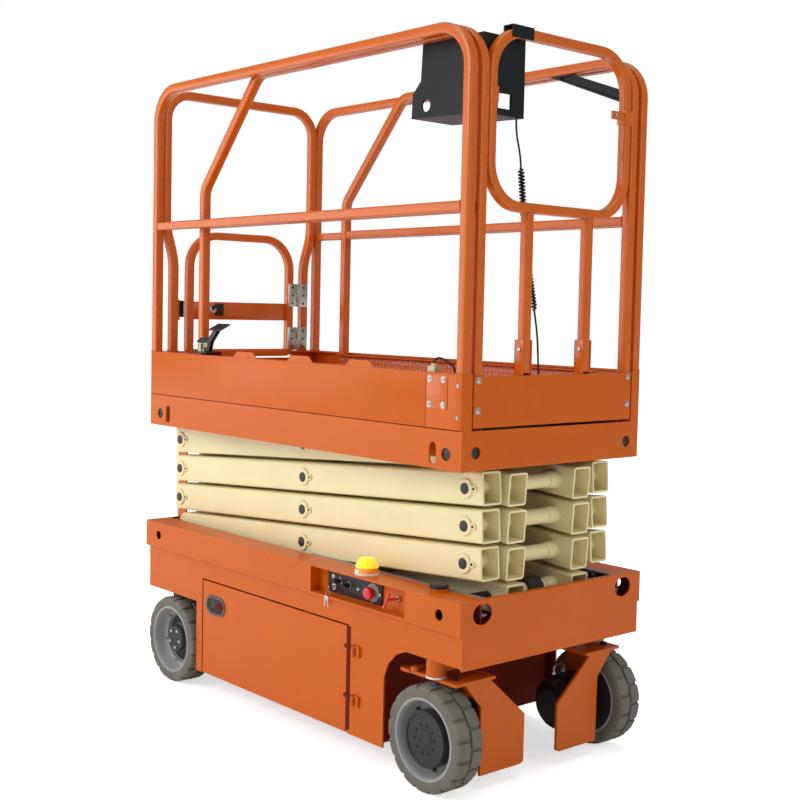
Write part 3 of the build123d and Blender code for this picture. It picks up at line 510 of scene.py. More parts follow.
def hollow_arm(piece, x, y, z, way, length, cut=None):
    # An open rounded box tube along a direction in the XZ plane
    form = bmesh.new()
    along = Vector(way).normalized()
    across = Vector(LEFT)
    up = along.cross(across)
    centre = Vector((x, y, z))
    outside = rounded(ARM_WIDTH, ARM_HEIGHT, 9.0, 5)
    inside = rounded(ARM_WIDTH - 12.0, ARM_HEIGHT - 12.0, 4.0, 5)
    lip = rounded(ARM_WIDTH - 1.2, ARM_HEIGHT - 1.2, 8.6, 5)
    rows = []
    for end in (-1, 1):
        base = centre + along * (end * length / 2)
        back = centre + along * (end * (length / 2 - 0.6))
        rings = ((back, outside), (base, lip), (base, inside))
        rows.append([[form.verts.new((p + across * u + up * v) * MM) for u, v in ring] for p, ring in rings])
    size = len(outside)
    for i in range(size):
        j = (i + 1) % size
        form.faces.new((rows[0][0][i], rows[0][0][j], rows[1][0][j], rows[1][0][i]))
        form.faces.new((rows[0][2][i], rows[1][2][i], rows[1][2][j], rows[0][2][j]))
        for end in (0, 1):
            for a in (0, 1):
                form.faces.new((rows[end][a][i], rows[end][a + 1][i], rows[end][a + 1][j], rows[end][a][j]))
    bmesh.ops.recalc_face_normals(form, faces=form.faces)
    if cut:
        at, normal = cut
        made = bmesh.ops.bisect_plane(form, geom=form.verts[:] + form.edges[:] + form.faces[:], dist=1e-7,
            plane_co=Vector(at) * MM, plane_no=Vector(normal), clear_outer=True)
        edges = [g for g in made["geom_cut"] if isinstance(g, bmesh.types.BMEdge)]
        bmesh.ops.bridge_loops(form, edges=edges)
    piece.take(form, CREAM)


def collar(piece, x, y0, y1, z, radius, bead=True):
    piece.ring([(17, y0), (radius - 1.5, y0), (radius, y0), (radius, y1 - (1.5 if y1 > y0 else -1.5)),
        (radius - 1.5, y1), (17, y1)], (x, 0, z), LEFT, CREAM, sides=40)
    if bead:
        piece.bead([p for _, p in circle(x, y0, z, radius + 0.8, 40, closed=True)], 2.2, CREAM)


def arm_pair(level, outer):
    low = LOW_Z + (level - 1) * PITCH
    mid = low + PITCH / 2
    sign = 1 if outer else -1
    way = (cos(ARM_TILT), 0, sign * sin(ARM_TILT))
    face = OUTER_FACE if outer else INNER_FACE
    ahead = 70.0 if outer else 79.0
    lowest, highest = level == 1, level == 4
    enclosed = (outer and lowest) or (not outer and highest)
    behind = 29.0 if enclosed else 38.0
    rear_z, front_z = (low, low + PITCH) if outer else (low + PITCH, low)
    length = ARM_LENGTH + ahead + behind
    shift = (ahead - behind) / 2
    piece = Piece()
    for side in (-1, 1):
        def pin(x, z, y0, y1):
            piece.rod((x, side * y0, z), (x, side * y1, z), 17, PIN)

        def roller_pin(z):
            pin(FRONT_PIN, z, face - 4, 299)
            piece.pipe((FRONT_PIN, side * 287, z), (FRONT_PIN, side * 299, z), 20, 16.9, TRACK)

        middle = side * (face - ARM_WIDTH / 2)
        # The corner beside the end plate is cut off
        cut = ((REAR_PIN - 33, 0, rear_z - sign * 4), (-54.0, 0, sign * 50.0)) if enclosed else None
        hollow_arm(piece, MID_PIN + way[0] * shift, middle, mid + way[2] * shift, way, length, cut)
        inner = side * (face - ARM_WIDTH)
        for x, z in ((REAR_PIN, rear_z), (MID_PIN, mid), (FRONT_PIN, front_z)):
            piece.pipe((x, inner + side * 1, z), (x, side * (face - 1), z), 25, 17.1, CREAM)
        if outer:
            for x, z in ((MID_PIN, mid), (FRONT_PIN, front_z), (REAR_PIN, rear_z)):
                if x == REAR_PIN and lowest:
                    pin(x, z, face - 4, 313)
                    continue
                if x == FRONT_PIN and highest:
                    roller_pin(z)
                    collar(piece, x, side * (face - 2), side * 286.5, z, 26)
                    continue
                pin(x, z, 100, 292)
                collar(piece, x, side * (face - 1), side * 290, z, 30)
                collar(piece, x, side * 183.4, side * 206.5, z, 30, bead=False)
                # Lug with the screw that locks the pin
                at = (x + 37 * way[0], side * (face - 0.5), z + 37 * way[2])
                piece.ring([(0, 0), (11, 0), (11, 4.6), (9.6, 6), (0, 6)], at, (0, side, 0), CREAM, sides=24)
                piece.screw((at[0], side * (face + 5.4), at[2]), (0, side, 0), 4.2, 2.2, PIN, "socket")
        else:
            if lowest:
                roller_pin(front_z)
            if highest:
                pin(REAR_PIN, rear_z, face - 4, 204)
    if not outer:
        for x, z in ((FRONT_PIN, front_z), (REAR_PIN, rear_z)):
            piece.pipe((x, -106, z), (x, 106, z), 24, 17.1, CREAM)
            piece.ring([(24, 60), (27.5, 61), (27.5, 100), (29.5, 102), (29.5, 105.4), (24, 105.4)],
                (x, 0, z), LEFT, CREAM, sides=36)
            piece.bead([p for _, p in circle(x, -104.5, z, 25, 32, closed=True)], 2.2, CREAM)
        if level == 2:
            for side in (-1, 1):
                lug = ((0, 22), (72, 20), (102, -10), (84, -12), (60, -10), (0, -22))
                piece.plate([(REAR_PIN + u, rear_z + v) for u, v in lug], "XZ", side * 34, side * 44, CREAM)
    kind = "outer" if outer else "inner"
    piece.done(f"arms_{kind}_{level}", f"{kind}_{level}", "arm_cream", [f"{kind}_arms_{level}"])


for level in (1, 2, 3, 4):
    for outer in (True, False):
        arm_pair(level, outer)


# Guard rails from rounded square tube
REAR_POST, FRONT_POST, TOP_LINE, MID_RAIL = -857.0, 843.0, 2232.0, 1722.0
FOOT, DECK_FOOT, POST_FACE = 1245.3, 1238.3, REAR_POST + 3


def square_rail(piece, points, bend, size, normal, mat=RAIL_ORANGE):
    path = bent(points, bend, 14) if len(points) > 2 else [Vector(p) for p in points]
    piece.sweep(path, rounded(size, size, size * 0.17, 4), normal, mat)


def weld_square(piece, at, axis, size, mat=RAIL_ORANGE, thick=2.0):
    # A bead round a square tube where it meets another
    half = size / 2
    u, v = [a for a in (AHEAD, LEFT, UP) if a != tuple(abs(c) for c in axis)]
    corners = ((-1, -1), (1, -1), (1, 1), (-1, 1), (-1, -1))
    points = [Vector(at) + Vector(u) * half * p + Vector(v) * half * q for p, q in corners]
    piece.bead(points, thick, mat)


def side_rails(half, rear, foot, hoop, bends, label, body, node):
    # On each side a bent hoop with its middle rail and weld beads
    piece = Piece()
    for y in (-half, half):
        square_rail(piece, [(x, y, z) for x, z in hoop], bends, 32, LEFT)
        square_rail(piece, [(rear + 15, y, MID_RAIL), (FRONT_POST - 15, y, MID_RAIL)], 0, 30, LEFT)
        for x in (rear + 17, FRONT_POST - 17):
            weld_square(piece, (x, y, MID_RAIL), AHEAD, 30)
        for x in (rear, FRONT_POST):
            weld_square(piece, (x, y, foot + 2), UP, 32)
    piece.done(label, body, "body_orange", [node])


side_rails(380.0, REAR_POST, FOOT, [(REAR_POST, FOOT), (REAR_POST, TOP_LINE), (FRONT_POST, TOP_LINE),
    (FRONT_POST, FOOT)], 120, "main_side_rails", "platform", "side_rails")

piece = Piece()
arch_y = 380.0 - 32.0 - 0.3
for side in (-1, 1):
    square_rail(piece, [(REAR_POST, side * 312, FOOT), (REAR_POST, side * 312, 1600),
        (REAR_POST, side * arch_y, 1722), (REAR_POST, side * arch_y, TOP_LINE), (REAR_POST, 0, TOP_LINE)],
        [300, 300, 100], 32, AHEAD)
    weld_square(piece, (REAR_POST, side * 312, FOOT + 2), UP, 32)
# Stop lug of the gate with its rubber buffer
piece.block(REAR_POST - 3, POST_FACE, -297, -283, 1366, 1446, RAIL_ORANGE, soft=1.5)
for k in range(9):
    piece.block(REAR_POST + 2, POST_FACE + 11, -284, -270, 1379 + k * 7, 1384.5 + k * 7, RUBBER, soft=1.2)
piece.block(POST_FACE, POST_FACE + 9, -284, -272, 1378, 1442, RUBBER, soft=1.0)
piece.done("rear_arch_rail", "platform", "body_orange", ["rear_rail"])

piece = Piece()
for side in (-1, 1):
    square_rail(piece, [(REAR_POST, 0, 1238), (REAR_POST, side * 240, 1238), (REAR_POST, side * 240, 1700),
        (REAR_POST, 0, 1700)], [20, 125], 30, AHEAD)
piece.block(REAR_POST - 3, POST_FACE, -226, 226, 1370, 1440, RAIL_ORANGE, soft=1.5)
for side in (-1, 1):
    piece.bead([(POST_FACE, side * 225.5, 1372), (POST_FACE, side * 225.5, 1438)], 2, RAIL_ORANGE)
# Latch on the gate's cross plate
piece.block(POST_FACE, POST_FACE + 12, -122, -88, 1386, 1434, PLASTIC, soft=2.5)
piece.rod((POST_FACE, -138, 1410), (POST_FACE + 12, -138, 1410), 16, STAINLESS, soft=2)
piece.rod((POST_FACE + 12, -138, 1418), (POST_FACE + 16, -138, 1418), 9, PLASTIC, soft=2)
HINGES = (1248, 1428)


def hinge_leaf(piece, y0, y1, low, barrel_low):
    # Half of a leaf hinge with its three screws
    x = REAR_POST + 15
    piece.block(x + 0.4, x + 4, y0, y1, low, low + 95, STAINLESS, soft=0.8)
    piece.rod((x + 2, 274, barrel_low), (x + 2, 274, barrel_low + 46.5), 6, STAINLESS, sides=28)
    middle = (y0 + y1) / 2
    for rise in (14, 47, 80):
        piece.screw((x + 4, middle, low + rise), AHEAD, 5.0, 2.6, PIN, "dome")


for z in HINGES:
    hinge_leaf(piece, 226, 266, z, z)
    piece.rod((REAR_POST + 17, 274, z), (REAR_POST + 17, 274, z + 88), 3, ZINC)
piece.done("gate_frame", "entry_gate", "body_orange", ["gate"])

piece = Piece()
for z in HINGES:
    hinge_leaf(piece, 282, 322, z, z + 48)
piece.done("gate_hinge_leaves", "platform", "hinge_steel", ["gate_hinges"])

side_rails(334.0, -600, DECK_FOOT, [(-600, DECK_FOOT), (-600, 1850), (-262, TOP_LINE), (FRONT_POST, TOP_LINE),
    (FRONT_POST, DECK_FOOT)], [70, 70, 120], "extension_side_rails", "extension", "extension_rails")

piece = Piece()
for side in (-1, 1):
    square_rail(piece, [(FRONT_POST, 0, 1731), (FRONT_POST, side * 300, 1731),
        (FRONT_POST, side * 300, TOP_LINE), (FRONT_POST, 0, TOP_LINE)], 125, 30, AHEAD)
    square_rail(piece, [(FRONT_POST, side * 134, 1245), (FRONT_POST, side * 134, 1717)], 0, 30, AHEAD)
    weld_square(piece, (FRONT_POST, side * 134, 1715), UP, 30)
    # Folded socket round the foot of the post
    for reach, y0, y1 in ((16, -16, -20), (16, 16, 20), (-16, -20, 20)):
        piece.block(FRONT_POST - 20, FRONT_POST + reach, side * 134 + y0, side * 134 + y1, DECK_FOOT, 1343,
            RAIL_ORANGE, soft=1.2)
    piece.screw((FRONT_POST + 2, side * 134 - 20, 1315), RIGHT, 6, 4, ZINC, "hex")
piece.done("front_loop_rail", "extension", "body_orange", ["front_rail"])


# Wheels with lugged tyres
def wheel(name, x, side, driven):
    centre = side * 360.0
    tyre = Piece()
    r = WHEEL_RADIUS
    half = 50.0
    flat = half - 0.8

    def turn(piece, profile, mat, sides=80):
        piece.ring([(a, b * side) for a, b in profile], (x, centre, r), LEFT, mat, sides=sides)

    profile = [(124.2, -flat + 1), (128, -flat), (143, -flat), (150.0, -half + 3.5), (153.0, -half + 8),
        (153.0, -5), (151.0, -3.5), (151.0, 3.5), (153.0, 5), (153.0, half - 8), (150.0, half - 3.5),
        (143, flat), (128, flat), (124.2, flat - 1)]
    tyre.ring(profile, (x, centre, r), LEFT, TYRE, sides=96)
    # Two staggered rows of rounded blocks that wrap over the shoulders
    count = 16
    form = bmesh.new()
    along = (-1.0, -0.84, 0.0, 0.84, 1.0)
    inset = (5.0, 0.8, 0.0, 0.8, 5.0)
    for row in (-1, 1):
        for k in range(count):
            middle = 2 * pi * (k + (0.5 if row > 0 else 0.0)) / count
            grid = []
            for radius, shrink, shoulder in ((151.0, 0.0, 139.0), (157.9, 0.5, 150.0), (r, 2.4, 156.5)):
                sheet = []
                for step in range(4):
                    line = []
                    for t, back in zip(along, inset):
                        a = middle + t * (27.0 - shrink) / r
                        ys = (3.0 + back + shrink, 9.0 + back + shrink, 41.0 - back * 0.3 - shrink,
                            (50.0 if shrink == 0.0 else 49.6 if shrink < 1 else 46.5) - back * 0.25)
                        rad = shoulder if step == 3 else radius
                        line.append(form.verts.new(Vector((x + rad * sin(a), centre + row * ys[step],
                            r + rad * cos(a))) * MM))
                    sheet.append(line)
                grid.append(sheet)
            top = grid[2]
            for i in range(3):
                for j in range(4):
                    form.faces.new((top[i][j], top[i][j + 1], top[i + 1][j + 1], top[i + 1][j]))
            border = [(0, j) for j in range(5)] + [(1, 4), (2, 4)]
            border += [(3, j) for j in (4, 3, 2, 1, 0)] + [(2, 0), (1, 0)]
            edges = [[sheet[i][j] for i, j in border] for sheet in grid]
            join_rows(form, edges[0], edges[1])
            join_rows(form, edges[1], edges[2])
    loose = [v for v in form.verts if not v.link_faces]
    bmesh.ops.delete(form, geom=loose, context="VERTS")
    tyre.take(form, TYRE)
    tyre.done("tyre_" + name, name + "_wheel", "tyre_grey", [name + "_tyre"], angle=24)

    rim = Piece()

    def at(radius, angle, y):
        return x + radius * sin(angle), y, r + radius * cos(angle)

    def bolts(count, radius, start, out, size, height, mat, kind):
        for k in range(count):
            rim.screw(at(radius, 2 * pi * k / count + start, centre + side * out), (0, side, 0), size, height,
                mat, kind)

    back = [(20, -12), (104, -14), (112, -22), (116, -48)]
    if driven:
        dish = [(124, -48), (124, 48), (120, 49.4), (116.5, 48.4), (114, 44), (111.5, 30), (108, 17),
            (103, 9), (97, 5.5), (20, 4.5)] + back
        turn(rim, dish, RIM)
        hub = [(0, 4), (86, 4), (86, 40), (84.5, 43), (80, 44), (76.5, 43.4), (75.5, 41), (30, 41), (28, 43),
            (18, 43.6), (16, 42), (0, 42)]
        turn(rim, hub, BLACK)
        bolts(10, 43, 0.2, 41, 3.6, 2.6, PIN, "socket")
        bolts(5, 95, 0.5, 6, 7.0, 8, BLACK, "hex")
        rim.rod((x, side * 276, r), (x, side * 352, r), 20, PIN)
        turn(rim, [(21, -47), (119, -47), (119, -41), (21, -41)], BLACK, 64)
    else:
        dish = [(124, -48), (124, 48), (120, 49.4), (116.5, 48.4), (114, 44), (112, 28), (109, 12),
            (105, 6.5), (100, 5.2), (94, 5.0), (92, 3.0), (92, -7), (20, -7.5)] + back
        turn(rim, dish, RIM)
        hub = [(0, -8), (88, -8), (88, -6.4), (66, -4), (60, 8), (52, 12), (49, 22), (46, 25.4), (0, 25.6)]
        turn(rim, hub, BLACK, 64)
        bolts(5, 34, 0.5, 25, 6.5, 7, ZINC, "hex")
        for k in range(6):
            rim.ring([(0, 0), (4.6, 0), (4.6, 0.8 * side), (0, 0.8 * side)],
                at(98.5, 2 * pi * (k + 0.28) / 6, side * 365.2), LEFT, RUBBER, sides=18)
        rim.pipe((x, side * 320, r), (x, side * 348, r), 38, 20.1, BLACK)
    rim.done("rim_" + name, name + "_wheel", "rim_grey", [name + "_rim"])


for end, x in (("front_", KINGPIN_X), ("rear_", REAR_WHEEL_X)):
    for side, name in SIDES:
        wheel(end + name, x, side, end == "front_")

# CAD nodes that keep their shape
for mat, width, names in ((ORANGE, 1.4, "front_axle ladder tie_bar knuckle_right knuckle_left"),
        (ORANGE, 1.2, "extension_deck"), (DIAMOND, 1.0, "deck"), (BLACK, 1.5, "rear_axle cylinder_barrel"),
        (CASE, 4.0, "battery_pack"), (UNIT, 3.0, "hydraulic_unit"), (PLASTIC, 1.0, "rim_cap"),
        (TRACK, 1.0, "guide_tracks"), (CHROME, 1.0, "cylinder_rod"), (BOX_BLACK, 1.5, "control_box"),
        (BOX_BLACK, 1.0, "rail_channel"), (IVORY, 1.5, "cable_gland")):
    for name in names.split():
        dress(name, mat, width)

# The chassis and the platform frame get finer cut-outs than their solids have
def cutter(outline, plane, low, high):
    piece = Piece()
    piece.plate(outline, plane, low, high, ORANGE, soft=0)
    return new_object("cutter", piece.as_mesh("cutter"))


def corners(u0, u1, v0, v1):
    return [(u0, v0), (u1, v0), (u1, v1), (u0, v1)]


def stadium(cx, cz, width, height, steps=12):
    # A slot with round ends, or a round hole
    r = min(width, height) / 2
    points = []
    for k in range(4 * steps):
        a = 2 * pi * k / (4 * steps)
        mid_x = cx + width / 2 - r if cos(a) > 0 else cx - width / 2 + r
        mid_z = cz + height / 2 - r if sin(a) > 0 else cz - height / 2 + r
        points.append((mid_x + r * cos(a), mid_z + r * sin(a)))
    return points


def carve(name, cutters, mats, label, body, width, face_paint=None):
    # A copy of the node's mesh with the cuts made, which takes the node's place
    source = nodes[name]
    work = new_object("work", source.data.copy())
    work.matrix_world = source.matrix_world.copy()
    join_points(work)
    for tool in cutters:
        modifier(work, "cut", "BOOLEAN", operation="DIFFERENCE", solver="EXACT", object=tool)
    round_edges(work, width)
    bpy.context.view_layer.update()
    data = bpy.data.meshes.new_from_object(work.evaluated_get(bpy.context.evaluated_depsgraph_get()))
    data.transform(work.matrix_world)
    data.materials.clear()
    for mat in mats:
        data.materials.append(mat)
    if face_paint:
        for face in data.polygons:
            face.material_index = face_paint((face.center - MIDDLE) / MM, face.normal)
    shade_smooth(data, 30)
    for tool in [work] + list(cutters):
        old = tool.data
        bpy.data.objects.remove(tool)
        bpy.data.meshes.remove(old)
    even_normals(attach(new_object(label, data), body, [name]))


def painted_shade_index(c, n):
    # Painted shade inside the wheel arches, the well and behind the front holes
    if (c.y < -355 and 168 < c.x < 647 and c.z > 492) or (n.x < -0.5 and c.x < -600):
        return 0
    inward = abs(c.y) < 388.5 or c.y * n.y < -0.5 * abs(c.y)
    return 1 if inward and c.z < 590.5 and -880 < c.x < 880.5 else 0


tools = [cutter(stadium(side * 316.5, 551, 76, 58), "YZ", 868, 890) for side in (-1, 1)]
tools += [cutter(corners(side * SKIN_Y, side * 410, 380, 492.9), "YZ", 868, 890) for side in (-1, 1)]
carve("chassis_frame", tools, [ORANGE, SHADED_ORANGE], "chassis_body", "chassis", 1.8, painted_shade_index)

BEAM_HOLE_Z = 1011
tools = []
for side in (-1, 1):
    for x, width, height in ((-801, 38, 38), (794, 38, 38), (-746, 30, 65), (737, 30, 65)):
        tools.append(cutter(stadium(x, BEAM_HOLE_Z, width, height), "XZ", side * 384, side * 400))
    tools.append(cutter(stadium(side * 338, 1017.5, 36, 36), "YZ", 845, 865))
for x in (-239, 81, 392):
    tools.append(cutter(corners(x - 72, x + 72, 1245.05, 1270), "XZ", 380, 400))
carve("platform_frame", tools, [ORANGE], "platform_body", "platform", 1.4)


for side, name in SIDES:
    arm = cutter(corners(300, 430, 130, 440), "XZ", side * 395.1, side * 440)
    carve("hatch_" + name, [arm], [ORANGE], "hatch_door_" + name, name + "_hatch", 1.4)


def torus(piece, at, axis, radius, thick, mat, sides=28):
    piece.ring([(radius + thick * cos(a), thick * sin(a)) for a in (k * pi / 4 for k in range(8))], at, axis,
        mat, sides)


# Ground controls in the recess of the right-hand rim
piece = Piece()
piece.block(226, 497, PANEL_Y, -366.3, 508, 584.7, PLASTIC, soft=0.8)
for x, z in ((234, 516), (489, 516), (234, 577)):
    piece.screw((x, PANEL_Y, z), RIGHT, 3.4, 2, PIN, "dome")
for x, z in ((290, 551), (336, 545)):
    piece.screw((x, PANEL_Y, z), RIGHT, 12, 4, ZINC, "hex")
    piece.ring([(0, 4), (10, 4), (9, 8), (6, 15), (5, 19), (0, 19)], (x, PANEL_Y, z), RIGHT, RUBBER, sides=24)
    piece.rod((x, -389, z), (x + 3, -402, z + 12), 4.2, PLASTIC, sides=16)
piece.screw((258, PANEL_Y, 561), RIGHT, 8, 4, ZINC, "socket")
piece.screw((262, PANEL_Y, 528), RIGHT, 11, 5, ZINC, "socket")
piece.block(260.6, 263.4, -399, -376, 521, 535, ZINC, soft=0.8)
torus(piece, (262, -399, 512), (1, 0.3, 0), 11, 1.1, ZINC)
for dx, lean in ((-5, 0.12), (5, -0.10)):
    turn = Matrix.Rotation(lean, 4, "Y")
    piece.block(262 + dx - 5, 262 + dx + 5, -407.4, -406, 488, 502, ZINC, soft=0.5, turn=turn)
    piece.block(262 + dx * 1.5 - 2.2, 262 + dx * 1.5 + 2.2, -407.4, -406, 466, 489, ZINC, soft=0.5, turn=turn)
piece.screw((380, PANEL_Y, 540), RIGHT, 4.5, 3, WHITE, "dome")
piece.rings((454, PANEL_Y, 543), RIGHT, ([(14, 0), (30, 0), (30, 1.6), (29, 2.4), (14, 2.4)], GREY, 40),
    ([(0, 0), (14, 0), (13, 12), (0, 12)], RED, 28), ([(0, 12), (16, 12), (20, 16), (20.5, 22), (18, 27),
    (12, 29.6), (0, 30)], RED, 36))
piece.screw((487, PANEL_Y, 540), RIGHT, 5.0, 3, ZINC, "dome")
piece.done("ground_controls", "chassis", "panel_black", ["ground_panel"])

piece = Piece()
piece.screw((574, -366, 546), RIGHT, 10, 9, ZINC, "hex")
piece.rod((574, -375, 546), (553, -397, 540), 4.6, RED, sides=20)
piece.block(-5, 5, -2.5, 2.5, -28, 28, RED, soft=2, turn=turned(550, -400, 538, radians(28), "Y"))
piece.block(212, 215, -366, -362, 502, 585, ORANGE, soft=0.6)
for side in (-1, 1):
    piece.rod((-880, side * 402.4, 495.6), (880, side * 402.4, 495.6), 3.4, ORANGE, sides=20)
piece.done("emergency_lowering_lever", "chassis", "body_orange")

# Beacon with a faceted dome
piece = Piece()
piece.rings((BEACON_X, BEACON_Y, 591.3), UP, ([(0, 0), (40, 0), (40, 4), (38.5, 6), (0, 6)], WHITE, 48),
    ([(0, 5), (37, 5), (37.5, 12), (37, 23), (0, 23)], AMBER, 40),
    ([(0, 22), (37.6, 22), (37.6, 26), (34, 35), (29, 46), (22, 52), (9, 52.6), (0, 52.6)], YELLOW, 12))
for k in range(4):
    a = radians(-128 + 13 * k)
    spot = (BEACON_X + 38.2 * cos(a), BEACON_Y + 38.2 * sin(a), 603)
    piece.block(-5, 5, -0.5, 0.5, -6, 6, WHITE, soft=0.2, turn=turned(*spot, a + pi / 2, "Z"))
piece.done("beacon_lamp", "chassis", "beacon_amber", ["beacon"], angle=22)

# Recessed latches of the hatch doors
for side, door in SIDES:
    piece = Piece()
    loop = []
    for cx, start in ((-372.0, -90), (-426.0, 90)):
        for k in range(13):
            a = radians(start + 15 * k)
            loop.append(Vector((cx + 30 * cos(a), side * 396.4, 341 + 30 * sin(a))))
    piece.sweep(loop, [(-2.6, -6), (1.6, -6), (2.6, -4), (2.6, 4), (1.6, 6),
        (-2.6, 6)] if side > 0 else [(-2.6, -6), (2.6, -4), (2.6, 4), (-2.6, 6)], (0, side, 0), DARK_GREY,
        closed=True)
    inner = [(p.x + (-399 - p.x) * 0.12, p.z + (341 - p.z) * 0.16) for p in loop]
    piece.plate(inner, "XZ", side * 388.4, side * 395.6, PLASTIC, soft=0.5)
    # Painted shade in the hollow of the latch
    piece.block(-392, -352, side * 394, side * 397.5, 328, 354, SHADE_RED_BROWN, soft=3)
    piece.block(-424, -398, side * 394, side * 397, 334, 350, PIN, soft=3)
    piece.done("hatch_latch_" + door, door + "_hatch", "cap_black")

# Hatch hinges: a fixed block on the skin and a thin arm that reaches over the gap to the door, with painted
# shade in the hinge slot, on the arm and along the door's gap
fixed = Piece()
for side, door in SIDES:
    moving = Piece()
    for z in (192, 351):
        fixed.block(392, 426, side * 395.3, side * HINGE_Y, z - 17, z + 17, ORANGE, soft=1.5)
        fixed.rod((HINGE_X, side * HINGE_Y, z - 17), (HINGE_X, side * HINGE_Y, z - 1), 6.9, ORANGE, sides=28)
        # Painted shade line for the slot of the hinge
        fixed.block(409, 413, side * 402.6, side * 403.4, z - 13, z + 13, SHADE_RED_BROWN, soft=0.2)
        moving.rod((HINGE_X, side * HINGE_Y, z), (HINGE_X, side * HINGE_Y, z + 17), 6.9, ORANGE, sides=28)
        # The arm's plate is painted in the shade colour
        moving.block(349, 398, side * 396, side * 399.5, z + 2, z + 14, SHADE_RED_BROWN, soft=1.0)
        moving.rod((HINGE_X, side * HINGE_Y, z - 16), (HINGE_X, side * HINGE_Y, z + 18.5), 3.4, PIN, sides=20)
    moving.done("hatch_hinge_arms_" + door, door + "_hatch", "body_orange")
    # Painted shade strip along the door's gap
    fixed.block(357.5, 377, side * 395.1, side * 395.5, 92, 423, SHADE_RED_BROWN, soft=0.1)
fixed.done("hatch_hinge_blocks", "chassis", "body_orange", ["hatch_hinges"])

# Kingpin washers, caps and flange bolts at the steered wheels
for side, name in SIDES:
    piece = Piece()
    piece.ring([(28, 340.1), (31, 340.1), (31, 345.6), (28, 345.6)], (KINGPIN_X, side * 360, 0), UP, WHITE,
        sides=40)
    piece.screw((792, side * 338, 340), UP, 11, 9, PLASTIC, "hex")
    for dx, dz in ((-28, -28), (28, -28), (28, 28), (-28, 28)):
        piece.screw((KINGPIN_X + dx * 1.35, side * 298, WHEEL_RADIUS + dz * 1.35), (0, side, 0), 5.5, 4, PIN,
            "hex")
    piece.done("knuckle_fittings_" + name, name + "_knuckle", "motor_black")

# Wheel drives: ribbed black housings inside the steered wheels
for side, name in SIDES:
    piece = Piece()
    at = (KINGPIN_X, side * DRIVE_Y, WHEEL_RADIUS)
    inward = (0, -side, 0)
    piece.ring([(22, 0), (66, 0), (67.5, 1.5), (67.5, 16), (62, 19), (62, 27), (80, 31), (84, 35), (84, 66),
        (80, 70), (80, 76), (84, 80), (84, 116), (80, 122), (64, 126), (60, 132), (56, 136), (54, 149),
        (50, 152), (0, 152), (0, 22), (22, 22)], at, inward, BLACK, sides=64)
    for _, bolt in circle(KINGPIN_X, side * (DRIVE_Y - 124), WHEEL_RADIUS, 72, 10, 0.15):
        piece.screw(bolt, inward, 4.6, 4, PIN, "hex")
    for a, spot in circle(KINGPIN_X, side * (DRIVE_Y - 98), WHEEL_RADIUS, 84, 16):
        piece.block(-2, 2, -14, 14, -4, 4, BLACK, soft=0.8, turn=turned(*spot, -a, "Y"))
    for x0, x1, y0, y1, z0, z1 in ((704, 770, 176, 250, 222, 254), (716, 758, 152, 190, 214, 244)):
        piece.block(x0, x1, side * y0, side * y1, z0, z1, BLACK, soft=5)
    piece.screw((752, side * 236, 254), UP, 9, 6, PIN, "hex")
    pipe_line = [(724, side * y, z) for y, z in ((222, 252), (222, 281), (176, 281), (176, 252))]
    piece.sweep(bent(pipe_line, 9, 8), rounded(9, 9, 4.2, 4), AHEAD, ZINC)
    for y in (222, 176):
        piece.screw((724, side * y, 253), UP, 9, 9, ZINC, "hex")
    piece.done("wheel_drive_" + name, name + "_knuckle", "motor_black", ["drive_motor_" + name])

# Lock pedal of the extension: plunger, lever and tread
piece = Piece()
piece.block(-600, -500, -385, -350.3, 1251, 1257, BLACK, soft=1)
# Painted shade on the deck beside the pedal
piece.block(-583.7, -500, -352, -318, 1238.3, 1257, SHADE_RED_BROWN, soft=1)
piece.ring([(0, 0), (21, 0), (21, 2), (19, 3), (19, 33), (0, 33)], (PEDAL_X, PEDAL_Y, 1256.5), UP, IVORY,
    sides=40)
for a, spot in circle(PEDAL_X, PEDAL_Y, 1273, 19, 6, radians(10), upright=True):
    piece.block(-3, 3, -0.7, 0.7, -11, 11, PIN, soft=0.3, turn=turned(*spot, a + pi / 2, "Z"))
piece.ring([(0, 0), (24, 0), (24, 4.5), (21, 8), (15, 13), (8, 19), (0, 21)], (PEDAL_X, PEDAL_Y, 1289), UP,
    BLACK, sides=40)
piece.ring([(0, 0), (8, 0), (8, 5), (0, 5)], (PEDAL_X, PEDAL_Y, 1305), UP, ZINC, sides=24)
lever = [(-560, 1256), (-512, 1256), (-506, 1276), (-500, 1292), (-450, 1341), (-462, 1346), (-474, 1344),
    (-516, 1306), (-531, 1290)]
for y0, y1 in ((-368, -364), (-356, -352)):
    piece.plate(lever, "XZ", y0, y1, BLACK, soft=1.0)
piece.plate([(-540, 1256), (-520, 1256), (-506, 1288), (-458, 1336), (-466, 1342), (-520, 1294)], "XZ", -364,
    -356, BLACK, soft=0.5)
piece.pipe((-527, -372, 1281), (-527, -348, 1281), 9, 4, IVORY, sides=24)
tilt = turned(-458, -358, 1347, radians(26.6), "X")
piece.block(-38, 38, -24, 24, -3, 3, BLACK, soft=1.5, turn=tilt)
for k in range(6):
    piece.block(-34 + k * 12, -28 + k * 12, -21, 21, 2.5, 4.2, PLASTIC, soft=0.5, turn=tilt)
piece.done("lock_pedal", "extension", "box_black", ["foot_pedal"])

